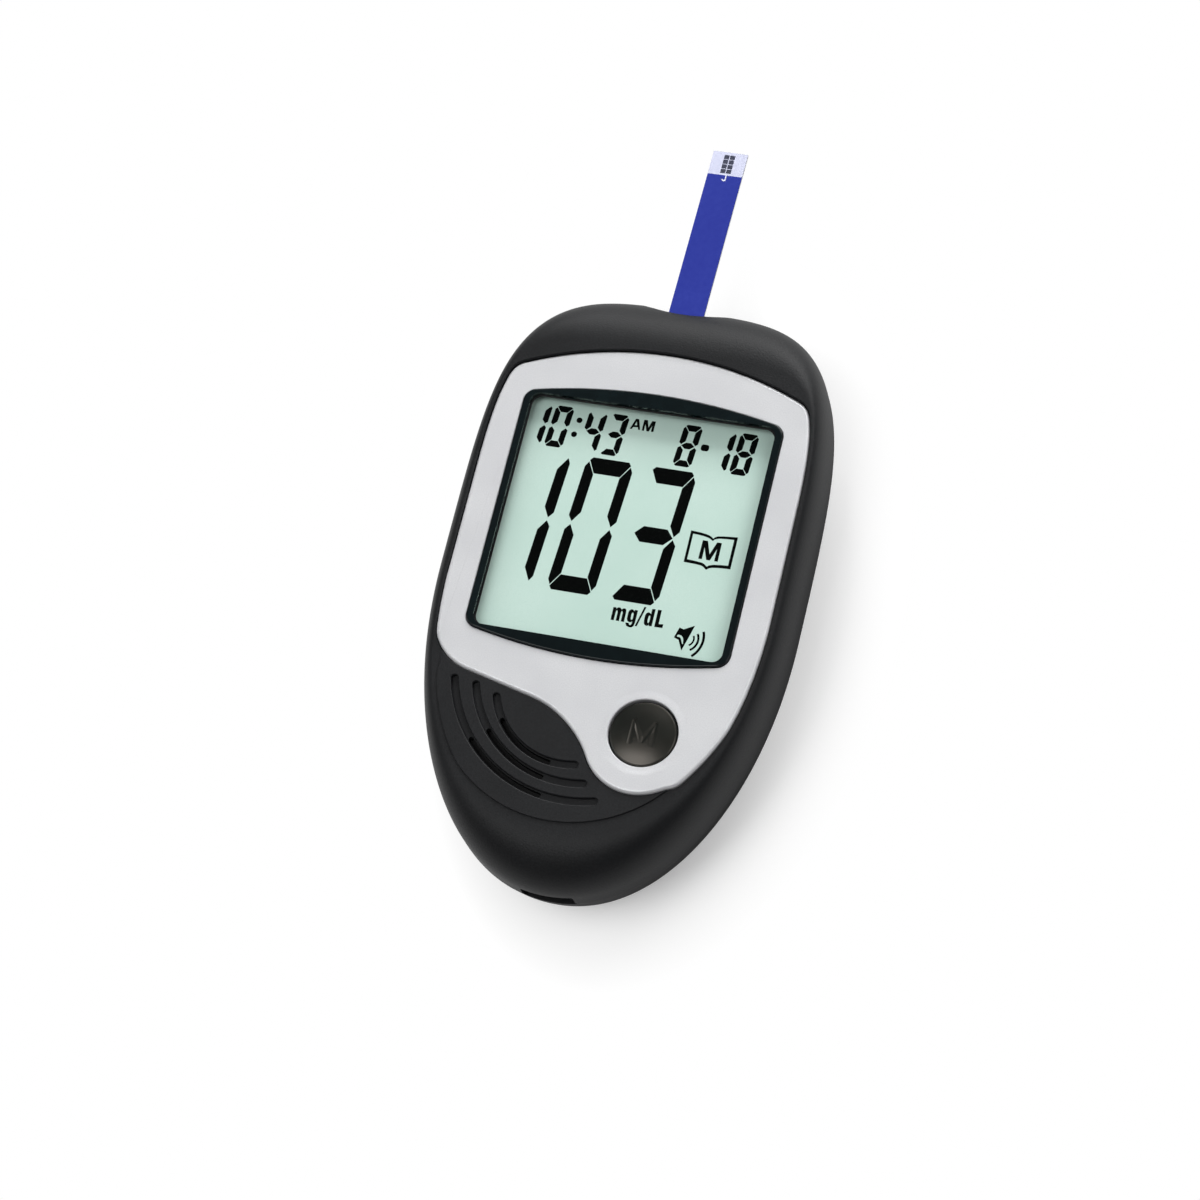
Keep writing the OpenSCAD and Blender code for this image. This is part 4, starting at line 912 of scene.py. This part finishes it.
# Matt white paper: the camera and, away from the object, glossy faces see it white. The shadow
# keeps within an ellipse of the outline's shape; its reach is in half sizes of the outline
SHADOW_AT, SHADOW_FULL, SHADOW_GONE = Vector((5, 5, 0)), 0.95, 1.3
paper = bpy.data.materials.new("matt_white_paper")
paper.use_nodes = True
tree = paper.node_tree
tree.nodes.clear()
rays = add(tree, "LightPath").outputs
position = add(tree, "NewGeometry").outputs["Position"]
offset = add(tree, "VectorMath", {0: position, 1: SHADOW_AT * MM}, operation="SUBTRACT")
shrunk = add(tree, "VectorMath", {0: offset.outputs[0], 1: (1 / MM / HALF_W, 1 / MM / TAIL, 0)},
             operation="MULTIPLY")
reach = add(tree, "VectorMath", {0: shrunk.outputs[0]}, operation="LENGTH")
fade = add(tree, "MapRange", {"Value": reach.outputs["Value"], "From Min": SHADOW_FULL,
                              "From Max": SHADOW_GONE})
mirrored = add(tree, "Math", {0: rays["Is Glossy Ray"], 1: fade.outputs[0]}, operation="MULTIPLY")
viewed = add(tree, "Math", {0: rays["Is Camera Ray"], 1: mirrored.outputs[0]},
             operation="MAXIMUM")
seen = add(tree, "Math", {0: viewed.outputs[0], 1: rays["Is Transmission Ray"]},
           operation="MAXIMUM")
shaded = add(tree, "BsdfDiffuse", {"Color": srgb("#e0e0e0")})
lift = add(tree, "Emission", {"Color": srgb("#ffffff"), "Strength": 0.32})
near_floor = add(tree, "AddShader", {0: shaded.outputs[0], 1: lift.outputs[0]})
far_floor = add(tree, "Emission", {"Color": srgb("#ffffff"), "Strength": 1.0})
shown = add(tree, "MixShader", {0: fade.outputs[0], 1: near_floor.outputs[0],
                                2: far_floor.outputs[0]})
dim = add(tree, "BsdfDiffuse", {"Color": srgb("#404040")})
mix = add(tree, "MixShader", {0: seen.outputs[0], 1: dim.outputs[0], 2: shown.outputs[0]})
add(tree, "OutputMaterial", {"Surface": mix.outputs[0]})

bm = bmesh.new()
bmesh.ops.create_grid(bm, x_segments=1, y_segments=1, size=3.0)
floor_mesh = bpy.data.meshes.new("floor")
bm.to_mesh(floor_mesh)
bm.free()
floor = bpy.data.objects.new("floor", floor_mesh)
scene.collection.objects.link(floor)
floor_mesh.materials.append(paper)

world = bpy.data.worlds.new("studio")
scene.world = world
world.use_nodes = True
tree = world.node_tree
tree.nodes.clear()
rays = add(tree, "LightPath").outputs
ambient = add(tree, "Background", {"Color": srgb("#ffffff"), "Strength": 0.13})
backdrop = add(tree, "Background", {"Color": srgb("#ffffff"), "Strength": 1.0})
mix = add(tree, "MixShader", {0: rays["Is Camera Ray"], 1: ambient.outputs[0],
                              2: backdrop.outputs[0]})
add(tree, "OutputWorld", {"Surface": mix.outputs[0]})

# Softboxes: name, place and aim in millimetres, size, power in watts
for name, place_at, aim, size, power in (
    ("shoulder_softbox", (60, 700, 340), (0, 10, 15), (900, 340), 6.3),
    ("strip_end_softbox", (160, 620, 600), (0, 0, 15), (420, 360), 0.9),
    ("overhead_softbox", (-220, -210, 830), (-220, -210, 0), (460, 420), 2.6),
    ("right_softbox", (460, 60, 640), (0, 0, 0), (360, 360), 0.9),
    ("left_softbox", (-620, -120, 420), (0, 0, 15), (420, 420), 0.5),
):
    lamp = bpy.data.lights.new(name, "AREA")
    lamp.shape, lamp.energy = "RECTANGLE", power
    lamp.size, lamp.size_y = size[0] * MM, size[1] * MM
    box = bpy.data.objects.new(name, lamp)
    box.location = Vector(place_at) * MM
    box.rotation_euler = (Vector(aim) - Vector(place_at)).to_track_quat("-Z", "Y").to_euler()
    scene.collection.objects.link(box)

lens = bpy.data.cameras.new("camera")
lens.lens, lens.sensor_width, lens.clip_start, lens.clip_end = LENS_MM, 36.0, 0.05, 10.0
camera = bpy.data.objects.new("camera", lens)
back = CAMERA_RIGHT.cross(CAMERA_UP)
turn = Matrix((CAMERA_RIGHT, CAMERA_UP, back)).transposed()
camera.matrix_world = Matrix.Translation(CAMERA_AT * MM) @ turn.to_4x4()
scene.collection.objects.link(camera)
scene.camera = camera
scene.view_settings.view_transform = "Standard"
